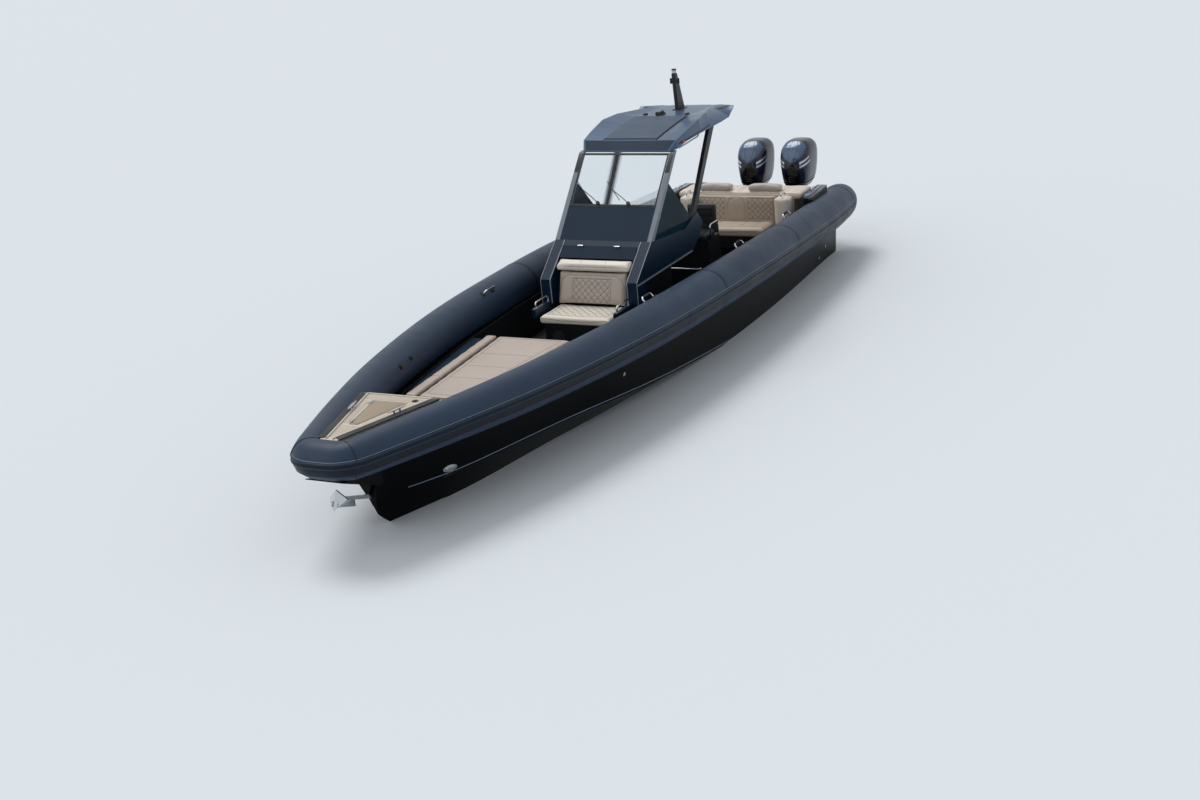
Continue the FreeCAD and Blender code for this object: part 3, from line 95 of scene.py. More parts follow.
def rangeOf(tree, source, low, high, fromLow=0.3, fromHigh=0.7):
    return addNode(tree, "ShaderNodeMapRange", None,
                   {0: source, 1: fromLow, 2: fromHigh, 3: low, 4: high}).outputs[0]


def noiseOf(tree, place, scale, detail, stretch=None):
    if stretch:
        place = addNode(tree, "ShaderNodeMapping", None, {"Vector": place, "Scale": stretch}).outputs[0]
    return addNode(tree, "ShaderNodeTexNoise", None,
                   {"Vector": place, "Scale": scale, "Detail": detail}).outputs["Fac"]


def mathOf(tree, operation, first, second):
    return addNode(tree, "ShaderNodeMath", {"operation": operation}, {0: first, 1: second}).outputs[0]


def caulkMask(tree, place, pitch, width):
    across = addNode(tree, "ShaderNodeSeparateXYZ", None, {0: place}).outputs[1]
    shifted = mathOf(tree, "ADD", across, 100 * pitch)
    return mathOf(tree, "LESS_THAN", mathOf(tree, "MODULO", shifted, pitch), width)


# What a look has where it doesn't say otherwise
plainLook = {
    "metallic": 0.0, "ior": 1.5, "coat": 0.0, "coatRough": 0.05, "sheen": 0.0, "clear": 0.0, "alpha": 1.0,
    "patchScale": 1.4, "flakeScale": 900.0, "flakeShare": 0.5, "grainScale": 9.0, "grainStretch": (1.2, 28, 28),
    "grooveBump": 0.7, "grooveDepth": 0.002, "dust": 0.12, "dustScale": 11.0, "dustColour": "a9a9a5",
    "roughScale": 4.0, "bump": 0.15, "bumpScale": 300.0, "bumpDepth": 0.001, "brush": None, "leather": None,
}
shaderSockets = {
    "Metallic": "metallic", "IOR": "ior", "Coat Weight": "coat", "Coat Roughness": "coatRough",
    "Sheen Weight": "sheen", "Transmission Weight": "clear", "Alpha": "alpha",
}


def makeMaterial(name, look):
    look = {**plainLook, **look}
    material = bpy.data.materials.new(name)
    material.use_nodes = True
    tree = material.node_tree
    shader = tree.nodes["Principled BSDF"]
    for socket, key in shaderSockets.items():
        shader.inputs[socket].default_value = look[key]
    place = addNode(tree, "ShaderNodeTexCoord").outputs["Object"]
    patches = noiseOf(tree, place, look["patchScale"], 4.0)
    colour = blendColours(tree, rangeOf(tree, patches, 0, 1), look["base"], look["second"])
    if "flake" in look:
        cells = addNode(tree, "ShaderNodeTexVoronoi", None, {"Vector": place, "Scale": look["flakeScale"]})
        grey = addNode(tree, "ShaderNodeSeparateColor", None, {0: cells.outputs["Color"]}).outputs[0]
        flakes = rangeOf(tree, grey, 0, look["flakeShare"], 0.55, 1.0)
        colour = blendColours(tree, flakes, colour, look["flake"])
    if "planks" in look:
        caulk = caulkMask(tree, place, look["planks"], look["caulkWidth"])
        grain = noiseOf(tree, place, look["grainScale"], 5.0, look["grainStretch"])
        colour = blendColours(tree, rangeOf(tree, grain, 0, 0.6), colour, look["grain"])
        colour = blendColours(tree, caulk, colour, look["caulk"])
    dust = rangeOf(tree, noiseOf(tree, place, look["dustScale"], 6.0), 0, look["dust"], 0.5, 0.8)
    colour = blendColours(tree, dust, colour, look["dustColour"])
    rough = rangeOf(tree, noiseOf(tree, place, look["roughScale"], 5.0), *look["rough"])
    if look["leather"]:
        height = addNode(tree, "ShaderNodeTexVoronoi", {"feature": "DISTANCE_TO_EDGE"},
                         {"Vector": place, "Scale": look["leather"]}).outputs["Distance"]
    else:
        height = noiseOf(tree, place, look["bumpScale"], 3.0, look["brush"])
    bump = addNode(tree, "ShaderNodeBump", None,
                   {"Strength": look["bump"], "Distance": look["bumpDepth"], "Height": height}).outputs[0]
    if "planks" in look:
        bump = addNode(tree, "ShaderNodeBump", {"invert": True},
                       {"Strength": look["grooveBump"], "Distance": look["grooveDepth"], "Height": caulk,
                        "Normal": bump}).outputs[0]
    for socket, source in (("Base Color", colour), ("Roughness", rough), ("Normal", bump)):
        tree.links.new(source, shader.inputs[socket])
    return material


paint = {"rough": (0.3, 0.38), "ior": 1.26, "coat": 0.1, "bump": 0.02, "bumpScale": 14.0, "bumpDepth": 0.002,
         "dust": 0.03}
vinyl = {"rough": (0.4, 0.54), "bump": 0.25, "leather": 260.0, "bumpDepth": 0.0008, "dust": 0.08, "sheen": 0.08}
gelcoat = {"bumpScale": 60.0, "dust": 0.08}
rubber = {"bump": 0.2, "bumpScale": 260.0, "dust": 0.06, "ior": 1.3}
pane = {"bump": 0.01, "bumpScale": 6.0, "dust": 0.02}
lens = {"rough": (0.1, 0.18), "bump": 0.05, "bumpScale": 200.0, "dust": 0.04}
looks = {
    "tubeFabric": {"base": "1a2b40", "second": "1f3249", "rough": (0.42, 0.54), "bump": 0.25, "bumpScale": 420.0,
                   "patchScale": 0.7, "dust": 0.06, "dustColour": "3c4f66", "ior": 1.4},
    "tubeTape": {**rubber, "base": "101f32", "second": "14263b", "rough": (0.38, 0.5), "bumpScale": 380.0,
                 "dustColour": "3c4f66"},
    "strakeBand": {**rubber, "base": "0a121c", "second": "0e1722", "rough": (0.36, 0.5), "dustColour": "3a4654"},
    "strakeLine": {**rubber, "base": "5a6c80", "second": "64768a", "rough": (0.3, 0.42), "bump": 0.1, "ior": 1.5,
                   "dustColour": "c0c6cc"},
    "strakeBead": {**rubber, "base": "1c2a3c", "second": "223144", "rough": (0.32, 0.45), "bump": 0.15,
                   "dustColour": "5d6876"},
    "hullGelcoat": {"base": "010203", "second": "020304", "rough": (0.16, 0.24), "ior": 1.16, "bump": 0.03,
                    "bumpScale": 14.0, "bumpDepth": 0.003, "patchScale": 0.5, "dust": 0.02, "dustColour": "3a3d40"},
    # The liner's near-black is painted shade: the cockpit's inside is dark where it lies in deep shade
    "linerShadeDark": {"base": "0d0f12", "second": "121417", "rough": (0.42, 0.56), "ior": 1.3, "bump": 0.12,
                     "bumpScale": 180.0, "dust": 0.1, "dustColour": "3f4246"},
    "navyGelcoat": {**paint, "base": "091d2f", "second": "0b2337", "flake": "1d4260", "flakeShare": 0.16,
                    "dust": 0.02, "dustColour": "24405a"},
    "roofGelcoat": {**paint, "base": "3a4f68", "second": "425974", "flake": "6f8bab", "flakeShare": 0.22,
                    "rough": (0.3, 0.4), "coat": 0.15, "metallic": 0.1, "dust": 0.04, "ior": 1.34,
                    "dustColour": "6d8299"},
    "roofMatte": {"base": "3f4c5e", "second": "465466", "rough": (0.5, 0.62), "bump": 0.1, "bumpScale": 220.0,
                  "dust": 0.06, "dustColour": "8b95a2", "ior": 1.34},
    "roofDark": {**paint, "base": "112033", "second": "15273c", "flake": "3a5276", "flakeShare": 0.2,
                 "dustColour": "46607c"},
    "creamGelcoat": {**gelcoat, "base": "c6bba9", "second": "cdc3b2", "rough": (0.26, 0.38), "coat": 0.2,
                     "bump": 0.06, "dustColour": "8c8678"},
    "whiteGelcoat": {**gelcoat, "base": "d6d4cf", "second": "dddbd6", "rough": (0.24, 0.34), "coat": 0.3,
                     "bump": 0.05, "dust": 0.06, "dustColour": "98958e"},
    "nonSlipCream": {"base": "b8ab9a", "second": "c0b4a4", "rough": (0.62, 0.76), "bump": 0.6, "bumpScale": 700.0,
                     "dustColour": "8a8172"},
    "deckInlay": {"base": "a8957e", "second": "b3a08a", "grain": "877560", "caulk": "5d5142", "planks": 0.032,
                  "caulkWidth": 0.004, "rough": (0.5, 0.66), "bump": 0.25, "bumpScale": 260.0, "dust": 0.1,
                  "dustColour": "80705a"},
    # Near-black ribbed panels for the cockpit floor: painted shade of the floor's shaded walkways
    "soleShadeRibs": {"base": "1c1e21", "second": "222428", "grain": "2b2e33", "caulk": "0a0b0c", "planks": 0.055,
                 "caulkWidth": 0.006, "rough": (0.6, 0.74), "bump": 0.3, "bumpScale": 420.0,
                 "dustColour": "46484b"},
    "tanVinyl": {**vinyl, "base": "ac9a87", "second": "b5a492", "dust": 0.1, "dustColour": "8b7a66"},
    "creamVinyl": {**vinyl, "base": "d9cfbf", "second": "e1d8ca", "rough": (0.38, 0.52), "dustColour": "a3988a"},
    "greyVinyl": {**vinyl, "base": "a99c90", "second": "b3a69a", "rough": (0.42, 0.56), "dust": 0.1,
                  "dustColour": "7c7067"},
    "aftPadVinyl": {**vinyl, "base": "d3c3b3", "second": "dacbbb", "dustColour": "9c8d7e"},
    "deckPadVinyl": {**vinyl, "base": "b0a093", "second": "baaa9d", "dust": 0.1, "dustColour": "8b7a66"},
    "bolsterVinyl": {**vinyl, "base": "aea29b", "second": "b8aca5", "dustColour": "7d726b"},
    "blackVinyl": {**vinyl, "base": "17181b", "second": "1d1f23", "rough": (0.4, 0.55), "dust": 0.1, "sheen": 0.0,
                   "dustColour": "47484b"},
    "stitchThread": {"base": "2f2822", "second": "393029", "rough": (0.6, 0.75), "bump": 0.3, "bumpScale": 900.0},
    "headLining": {"base": "24272c", "second": "2a2e33", "rough": (0.6, 0.74), "bump": 0.3, "bumpScale": 520.0,
                   "dust": 0.08, "dustColour": "4b4f55"},
    "clearAcrylic": {**pane, "base": "eef4f6", "second": "e4edf0", "rough": (0.01, 0.03), "clear": 1.0,
                     "ior": 1.03, "alpha": 0.45},
    "smokedAcrylic": {**pane, "base": "06242e", "second": "082b36", "rough": (0.03, 0.06), "ior": 1.12,
                      "alpha": 0.86},
    "displayGlass": {**pane, "base": "05080c", "second": "080c11", "rough": (0.04, 0.08)},
    "redLens": {**lens, "base": "8c1016", "second": "9a161c"},
    "greenLens": {**lens, "base": "0d6b34", "second": "12783c"},
    "lampGlass": {**lens, "base": "e9ecee", "second": "dfe3e6", "rough": (0.08, 0.16), "clear": 0.3},
    "anodisedAluminium": {"base": "6c727a", "second": "757b83", "rough": (0.3, 0.4), "metallic": 0.4, "ior": 1.4,
                          "bump": 0.12, "bumpScale": 240.0, "brush": (0.4, 6, 0.4), "dust": 0.05},
    # Pale grey for the console's edges, a painted highlight
    "paleHighlight": {"base": "8f97a0", "second": "99a1aa", "rough": (0.28, 0.4), "metallic": 0.3, "bump": 0.08,
                 "bumpScale": 240.0, "dust": 0.04},
    "stainlessSteel": {"base": "c3c7cb", "second": "cfd3d6", "rough": (0.12, 0.22), "metallic": 1.0, "bump": 0.06,
                       "bumpScale": 260.0, "brush": (0.3, 4, 4), "dust": 0.05},
    "blackGloss": {"base": "07080b", "second": "0a0b0f", "rough": (0.12, 0.2), "ior": 1.4, "coat": 0.2,
                   "bump": 0.03, "bumpScale": 30.0, "dust": 0.04},
    "blackPowderCoat": {"base": "121418", "second": "181b20", "rough": (0.42, 0.55), "bump": 0.25,
                        "bumpScale": 650.0, "dust": 0.1, "dustColour": "4a4d52"},
    "blackRubber": {"base": "101113", "second": "151618", "rough": (0.55, 0.7), "bump": 0.3, "bumpScale": 520.0,
                    "dustColour": "45464a"},
    "blackPlastic": {"base": "131416", "second": "191a1d", "rough": (0.48, 0.62), "bump": 0.2, "bumpScale": 420.0,
                     "dustColour": "4d4d4e"},
    "engineEnamel": {"base": "151a26", "second": "1a202e", "flake": "39465f", "rough": (0.22, 0.32), "coat": 0.6,
                     "metallic": 0.3, "bump": 0.05, "bumpScale": 40.0, "dust": 0.06},
    "cowlLacquer": {**paint, "base": "121a2b", "second": "172135", "flake": "2c3854", "flakeShare": 0.3,
                    "rough": (0.18, 0.28), "ior": 1.4, "coat": 0.3, "metallic": 0.15},
    "cowlSteelBlue": {**paint, "base": "2f4560", "second": "38506d", "flake": "8197b2", "flakeShare": 0.25,
                      "rough": (0.2, 0.3), "ior": 1.5, "coat": 0.4, "metallic": 0.2},
    "cowlSilver": {"base": "b9bfca", "second": "c4cad3", "rough": (0.22, 0.32), "coat": 0.8, "metallic": 0.4,
                   "bump": 0.05, "bumpScale": 30.0, "dust": 0.05},
}
materials = {name: makeMaterial(name, look) for name, look in looks.items()}

# Each slot of the record: first its finish on the CAD nodes, then the further finishes of added pieces
slotFinishes = {
    "hull_gelcoat": ("hullGelcoat",),
    "liner_gelcoat": ("linerShadeDark",),
    "navy_gelcoat": ("navyGelcoat",),
    "roof_gelcoat": ("roofGelcoat", "roofDark"),
    "cream_gelcoat": ("creamGelcoat", "nonSlipCream", "whiteGelcoat"),
    "deck_inlay": ("deckInlay", "soleShadeRibs"),
    "tube_fabric": ("tubeFabric", "tubeTape"),
    "strake_rubber": ("strakeBand", "strakeBead", "strakeLine"),
    "tan_upholstery": ("tanVinyl", "stitchThread"),
    "black_upholstery": ("blackVinyl", "headLining"),
    "clear_glass": ("clearAcrylic", "lampGlass"),
    "dark_glass": ("smokedAcrylic", "displayGlass", "redLens", "greenLens"),
    "pillar_aluminium": ("anodisedAluminium", "paleHighlight"),
    "stainless": ("stainlessSteel",),
    "black_metal": ("blackPowderCoat",),
    "black_plastic": ("blackPlastic", "blackRubber", "blackGloss"),
    "engine_paint": ("engineEnamel",),
    "cowl_paint": ("cowlLacquer", "cowlSteelBlue", "cowlSilver"),
}
nodeFinish = {"roof_panel": "roofMatte", "quarter_boxes": "blackGloss"}
for part in frame["record"]["subparts"]:
    skins = nodes[part["node"]].data.materials
    skins.clear()
    skins.append(materials[nodeFinish.get(part["node"], slotFinishes[part["material_slot"]][0])])
print("materials", len(materials))


# Shape tools

def addPiece(name, shape, finish, body="root", sharpAngle=32):
    bmesh.ops.remove_doubles(shape, verts=shape.verts, dist=0.00002)
    bmesh.ops.recalc_face_normals(shape, faces=shape.faces)
    mesh = bpy.data.meshes.new(name)
    shape.to_mesh(mesh)
    shape.free()
    mesh.materials.append(materials[finish])
    mesh.polygons.foreach_set("use_smooth", [True] * len(mesh.polygons))
    mesh.set_sharp_from_angle(angle=math.radians(sharpAngle))
    piece = bpy.data.objects.new(name, mesh)
    scene.collection.objects.link(piece)
    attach(piece, body)
    return piece


def circle(centre, across, upward, radius, count):
    angles = [2 * math.pi * step / count for step in range(count)]
    return [centre + (across * math.cos(a) + upward * math.sin(a)) * radius for a in angles]


def joinRings(shape, rings, closedRun=False):
    loops = [[shape.verts.new(point) for point in ring] for ring in rings]
    count = len(rings[0])
    runs = list(zip(loops, loops[1:]))
    if closedRun:
        runs.append((loops[-1], loops[0]))
    for before, after in runs:
        for k in range(count):
            shape.faces.new((before[k], before[(k + 1) % count], after[(k + 1) % count], after[k]))
    if not closedRun:
        shape.faces.new(loops[0])
        shape.faces.new(loops[-1])


def bevelEdges(shape, verts, bevel, segments=2):
    if bevel:
        edges = list({edge for vert in verts for edge in vert.link_edges})
        bmesh.ops.bevel(shape, geom=edges, offset=bevel, offset_type="OFFSET", segments=segments, profile=0.5,
                        affect="EDGES", material=-1, clamp_overlap=True)


def addBox(shape, low, high, bevel, segments=2):
    low, high = Vector(low), Vector(high)
    made = bmesh.ops.create_cube(shape, size=1.0)["verts"]
    placed = Matrix.Translation((high + low) / 2) @ Matrix.Diagonal((*(high - low), 1))
    bmesh.ops.transform(shape, matrix=placed, verts=made)
    bevelEdges(shape, made, bevel, segments)


def addPlate(shape, corners, lift, bevel):
    # corners run round the plate's face; lift is the way and distance it grows
    low = [shape.verts.new(corner) for corner in corners]
    grown = bmesh.ops.extrude_face_region(shape, geom=[shape.faces.new(low)], use_keep_orig=True)["geom"]
    top = [item for item in grown if isinstance(item, bmesh.types.BMVert)]
    bmesh.ops.translate(shape, vec=Vector(lift), verts=top)
    bevelEdges(shape, low + top, bevel)


def addRod(shape, points, radius, count=12):
    points = [Vector(point) for point in points]
    rings = []
    for k, point in enumerate(points):
        along = (points[min(k + 1, len(points) - 1)] - points[max(k - 1, 0)]).normalized()
        across = along.cross(up)
        if across.length < 0.05:
            across = along.cross(ahead)
        across.normalize()
        rings.append(circle(point, across, across.cross(along), radius, count))
    joinRings(shape, rings)


def addDisc(shape, centre, facing, radius, thick, count=24):
    centre = Vector(centre)
    addRod(shape, [centre, centre + Vector(facing).normalized() * thick], radius, count)


def addDiscs(shape, centre, facing, discs):
    # stacked discs; each says how far out it starts, its radius, how thick it is and its sides
    for out, radius, thick, count in discs:
        addDisc(shape, Vector(centre) + facing * out, facing, radius, thick, count)


def mirrorCopy(shape):
    copied = bmesh.ops.duplicate(shape, geom=shape.verts[:] + shape.edges[:] + shape.faces[:])["geom"]
    verts = [item for item in copied if isinstance(item, bmesh.types.BMVert)]
    faces = [item for item in copied if isinstance(item, bmesh.types.BMFace)]
    bmesh.ops.scale(shape, vec=(1, -1, 1), verts=verts)
    bmesh.ops.reverse_faces(shape, faces=faces)


def curveThrough(stations, steps):
    # a smooth run through the stations, each value eased by its neighbours
    points = []
    for k in range(len(stations) - 1):
        four = [stations[max(k - 1, 0)], stations[k], stations[k + 1], stations[min(k + 2, len(stations) - 1)]]
        for t in (step / steps for step in range(steps)):
            points.append(tuple(
                0.5 * (2 * b + (c - a) * t + (2 * a - 5 * b + 4 * c - d) * t * t
                       + (3 * b - a - 3 * c + d) * t * t * t) for a, b, c, d in zip(*four)))
    return points + [tuple(stations[-1])]


# Air tube: its centreline runs from the port stern round the nose to the other stern

tube = {"noseBend": 0.195, "noseSteps": 10, "steps": 12, "sides": 64}
sternCap = (
    (0.08, 0.992), (0.16, 0.965), (0.24, 0.915), (0.32, 0.835), (0.39, 0.73), (0.45, 0.59), (0.49, 0.44),
    (0.505, 0.34), (0.512, 0.22), (0.515, 0.08),
)


def tubeRun():
    portRun = curveThrough(tubeStations, tube["steps"])
    corner, radius = Vector(portRun[-1][:3]), portRun[-1][3]
    way = (corner - Vector(tubeStations[-2][:3])).normalized()
    turn = math.acos(max(-1, min(1, way.dot(-toPort))))
    setback = tube["noseBend"] * math.tan(turn / 2)
    run = [(Vector(point[:3]), point[3]) for point in portRun
           if (corner - Vector(point[:3])).length > setback * 1.15]
    start = corner - way * setback
    centre = start + Vector((way.y, -way.x, 0)).normalized() * tube["noseBend"]
    for step in range(tube["noseSteps"] + 1):
        place = centre + Matrix.Rotation(-turn * step / tube["noseSteps"], 3, "Z") @ (start - centre)
        run.append((Vector((place.x, place.y, corner.z)), radius))
    run.append((Vector((corner.x, 0, corner.z)), radius))
    return run + [(Vector((place.x, -place.y, place.z)), radius) for place, radius in reversed(run[:-1])]


def framesOf(run):
    found = []
    for k, (place, radius) in enumerate(run):
        along = (run[min(k + 1, len(run) - 1)][0] - run[max(k - 1, 0)][0]).normalized()
        outward = Vector((-along.y, along.x, 0)).normalized()
        found.append((place, radius, along, outward, along.cross(outward)))
    return found


def frameAt(x):
    half = tubeFrames[:len(tubeFrames) // 2 + 1]
    for before, after in zip(half, half[1:]):
        if before[0].x <= x <= after[0].x:
            share = (x - before[0].x) / (after[0].x - before[0].x)
            return [before[k] + (after[k] - before[k]) * share for k in range(5)]
    raise RuntimeError(f"the tube doesn't reach {x}")


def capRings(end, way):
    place, radius, along, outward, upward = end
    return [circle(place + along * (way * back), outward, upward, radius * share, tube["sides"])
            for back, share in sternCap]


def turned(degrees, outward, upward):
    # the way out of the tube, turned from its outer side upwards
    return outward * math.cos(math.radians(degrees)) + upward * math.sin(math.radians(degrees))


tubeFrames = framesOf(tubeRun())
tubeShape = bmesh.new()
rings = [circle(place, outward, upward, radius, tube["sides"]) for place, radius, _, outward, upward in tubeFrames]
joinRings(tubeShape, capRings(tubeFrames[0], -1)[::-1] + rings + capRings(tubeFrames[-1], 1))
airTube = addPiece("airTube", tubeShape, "tubeFabric", sharpAngle=60)
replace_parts(airTube, "collar_port", "collar_starboard", "collar_bow")

# Welded joint tapes round the tube; the tape at -0.08 lies on a shadow edge across the tube, so its darker band there
# is partly painted shade
tapes = {"places": (-5.34, -2.53, -0.08), "half": 0.024, "rise": 0.0024}
tapeShape = bmesh.new()
for x in tapes["places"]:
    rings = []
    place, radius, along, outward, upward = frameAt(x)
    for shift, above in ((-1, -1), (-1, 1), (-0.33, 1), (0.33, 1), (1, 1), (1, -1)):
        centre = place + along * (shift * tapes["half"])
        rings.append(circle(centre, outward, upward, frameAt(centre.x)[1] + above * tapes["rise"], tube["sides"]))
    joinRings(tapeShape, rings, closedRun=True)
mirrorCopy(tapeShape)
addPiece("tubeTapes", tapeShape, "tubeTape")

# Raised seam lines: one along the tube's inner side, and one round each corner of the nose
seams = {"degrees": 212, "radius": 0.0034, "noseRadius": 0.005, "noseDegrees": 62, "noseBack": 0.05,
         "noseIn": 0.012, "noseWide": 1.06, "noseRise": 1.002}
seamShape = bmesh.new()
addRod(seamShape, [place + turned(seams["degrees"], outward, upward) * radius
                   for place, radius, _, outward, upward in tubeFrames], seams["radius"], 6)
noseX, noseY, noseZ, noseRadius = tubeStations[-1]
for side in bothSides:
    corner = Vector((noseX - seams["noseBack"], side * (noseY - seams["noseIn"]), noseZ))
    outward = turned(seams["noseDegrees"], ahead, side * toPort) * seams["noseWide"]
    ring = circle(corner, outward, up, noseRadius * seams["noseRise"], 40)
    addRod(seamShape, ring + ring[:1], seams["noseRadius"], 6)
addPiece("tubeSeams", seamShape, "tubeTape")

# Inflation valves
valves = {"places": (3.34, 3.63, -0.45, -4.75), "degrees": 152, "sunk": 0.004,
          "discs": ((0, 0.034, 0.010, 28), (0.009, 0.02788, 0.006, 28), (0.014, 0.022, 0.012, 20))}
valveShape = bmesh.new()
for x in valves["places"]:
    place, radius, along, outward, upward = frameAt(x)
    away = turned(valves["degrees"], outward, upward)
    addDiscs(valveShape, place + away * (radius - valves["sunk"]), away, valves["discs"])
mirrorCopy(valveShape)
addPiece("tubeValves", valveShape, "blackPlastic")

# Ridged rubber sleeves on the tube handles, and their feet
handles = {"places": (1.05, -1.49, -3.36), "half": 0.115, "rise": 0.062, "degrees": 128, "sleeveHalf": 0.068,
           "sleeveRadius": 0.0145, "ridges": 9, "ridgeHalf": 0.066, "ridgeWide": 0.0115, "ridgeRadius": 0.0165,
           "footRadius": 0.036, "footThick": 0.022, "footSunk": 0.012}
gripShape = bmesh.new()
away = turned(handles["degrees"], toPort, up)
for x in handles["places"]:
    place, radius = frameAt(x)[:2]
    centre = Vector((x, place.y, place.z))
    middle = centre + away * (radius + handles["rise"])
    for k in range(handles["ridges"]):
        start = middle + ahead * (handles["ridgeHalf"] * (2 * k / handles["ridges"] - 1))
        addRod(gripShape, [start, start + ahead * handles["ridgeWide"]], handles["ridgeRadius"], 14)
    sleeve = ahead * handles["sleeveHalf"]
    addRod(gripShape, [middle - sleeve, middle + sleeve], handles["sleeveRadius"], 14)
    for end in bothSides:
        foot = centre + ahead * (end * handles["half"]) + away * (radius - handles["footSunk"])
        addDisc(gripShape, foot, away, handles["footRadius"], handles["footThick"])
mirrorCopy(gripShape)
addPiece("handleGrips", gripShape, "blackRubber")

# Rubbing strake: a broad band with beads standing on it and a pale edge line; a section pairs the height
# along the tube's skin with the rise above it, and a bead has its middle, half width and depth
strake = {"low": -0.115, "high": 0.052, "rise": 0.005, "sunk": -0.003, "lip": 0.002, "lipRise": 0.0035, "steps": 8,
          "beads": ((0.034, 0.010, 0.013), (-0.010, 0.009, 0.013), (-0.100, 0.007, 0.007)),
          "edge": (0.001, 0.004, 0.0035, 5)}


def strakePiece(name, section, finish):
    shape = bmesh.new()
    rings = [[place + turned(math.degrees(height / radius), outward, upward) * (radius + rise)
              for height, rise in section] for place, radius, _, outward, upward in tubeFrames]
    joinRings(shape, rings)
    return addPiece(name, shape, finish, sharpAngle=50)


def halfRound(middle, foot, half, depth, steps):
    angles = [math.pi * k / steps for k in range(steps + 1)]
    return [(middle + half * math.cos(a), foot + depth * math.sin(a)) for a in angles]


low, high, rise, sunk, lip, lipRise = (strake[key] for key in ("low", "high", "rise", "sunk", "lip", "lipRise"))
heights = [low + (high - low) * k / strake["steps"] for k in range(1, strake["steps"])]
bandSection = [(low, sunk), (low + lip, lipRise)] + [(height, rise) for height in heights]
bandSection += [(high - lip, lipRise), (high, sunk)] + [(height, sunk) for height in reversed(heights)]
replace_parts(strakePiece("strakeBand", bandSection, "strakeBand"), "rubbing_strake")
for number, (middle, half, depth) in enumerate(strake["beads"]):
    strakePiece(f"strakeBead{number}", halfRound(middle, rise - lip, half, depth, 8), "strakeBead")
strakePiece("strakeEdge", halfRound(high, *strake["edge"]), "strakeLine")
print("tubes")


# Cushions: each pad is swelled like stuffed vinyl, pressed in along its seams, then sewn with thread

stuffing = {"shrink": 0.006, "pressure": 4.0, "frames": 20, "quality": 5, "mass": 0.3, "stiffness": 15,
            "channelHalf": 0.020, "thread": 0.0022, "threadStep": 0.022, "threadSunk": 0.25}


def looseParts(node):
    shape = bmesh.new()
    shape.from_mesh(nodes[node].data)
    bmesh.ops.remove_doubles(shape, verts=shape.verts, dist=0.00005)
    parts = []
    reached = set()
    for start in shape.verts:
        if start in reached:
            continue
        # the group grows while it is walked, always in the same order
        reached.add(start)
        group = [start]
        for vert in group:
            for other in (link.other_vert(vert) for link in vert.link_edges):
                if other not in reached:
                    reached.add(other)
                    group.append(other)
        copied = bmesh.new()
        index = {vert: copied.verts.new(vert.co) for vert in group}
        for face in dict.fromkeys(face for vert in group for face in vert.link_faces):
            copied.faces.new([index[vert] for vert in face.verts])
        parts.append(copied)
    shape.free()
    return parts


def swell(piece, voxel, cap):
    remesh = piece.modifiers.new("remesh", "REMESH")
    remesh.mode = "VOXEL"
    remesh.voxel_size = voxel
    depsgraph = bpy.context.evaluated_depsgraph_get()
    mesh = bpy.data.meshes.new_from_object(piece.evaluated_get(depsgraph))
    piece.modifiers.clear()
    mesh.materials.clear()
    for material in piece.data.materials:
        mesh.materials.append(material)
    piece.data = mesh
    rest = [vert.co.copy() for vert in mesh.vertices]
    cloth = piece.modifiers.new("stuffing", "CLOTH")
    cloth.settings.use_pressure = True
    cloth.settings.uniform_pressure_force = stuffing["pressure"]
    cloth.settings.effector_weights.gravity = 0
    cloth.settings.quality = stuffing["quality"]
    cloth.settings.mass = stuffing["mass"]
    cloth.settings.tension_stiffness = stuffing["stiffness"]
    cloth.settings.compression_stiffness = stuffing["stiffness"]
    cloth.point_cache.frame_start = 1
    cloth.point_cache.frame_end = stuffing["frames"]
    for number in range(1, stuffing["frames"] + 1):
        scene.frame_set(number)
    depsgraph = bpy.context.evaluated_depsgraph_get()
    swollen = piece.evaluated_get(depsgraph).to_mesh()
    moved = [vert.co.copy() for vert in swollen.vertices]
    piece.evaluated_get(depsgraph).to_mesh_clear()
    piece.modifiers.clear()
    scene.frame_set(1)
    for vert, start, end in zip(mesh.vertices, rest, moved):
        shift = end - start
        if shift.length > cap:
            shift = shift.normalized() * cap
        vert.co = start + shift


def pressChannels(piece, lines, facing, depth):
    # a sewn channel draws the skin in along each line
    mesh = piece.data
    count = len(mesh.vertices)
    places = numpy.empty(count * 3)
    ways = numpy.empty(count * 3)
    mesh.vertices.foreach_get("co", places)
    mesh.vertices.foreach_get("normal", ways)
    places = places.reshape(-1, 3)
    facing = numpy.array(facing)
    flat = places - numpy.outer(places @ facing, facing)
    nearest = numpy.full(count, 9.0)
    for line in lines:
        ends = [numpy.array(point) - facing * (numpy.array(point) @ facing) for point in line]
        for start, end in zip(ends, ends[1:]):
            run = end - start
            share = numpy.clip((flat - start) @ run / max(run @ run, 1e-9), 0, 1)
            nearest = numpy.minimum(nearest, numpy.linalg.norm(flat - start - numpy.outer(share, run), axis=1))
    sink = depth * numpy.clip(1 - nearest / stuffing["channelHalf"], 0, 1) ** 1.4
    sink[ways.reshape(-1, 3) @ facing < 0.3] = 0
    places -= numpy.outer(sink, facing)
    mesh.vertices.foreach_set("co", places.ravel())
    mesh.update()


def threadLines(name, piece, lines, facing):
    surface = BVHTree.FromObject(piece, bpy.context.evaluated_depsgraph_get())
    facing = Vector(facing)
    thread = stuffing["thread"]
    shape = bmesh.new()
    for line in lines:
        points = []
        for start, end in zip(line, line[1:]):
            start, end = Vector(start), Vector(end)
            steps = max(1, round((end - start).length / stuffing["threadStep"]))
            points += [start.lerp(end, k / steps) for k in range(steps)]
        hits = [surface.ray_cast(point + facing * 0.35, -facing, 0.6)[0] for point in points + [Vector(line[-1])]]
        run = [hit - facing * thread * stuffing["threadSunk"] for hit in hits if hit]
        if len(run) > 1:
            addRod(shape, run, thread, 5)
    if shape.verts:
        addPiece(name, shape, "stitchThread", sharpAngle=80)


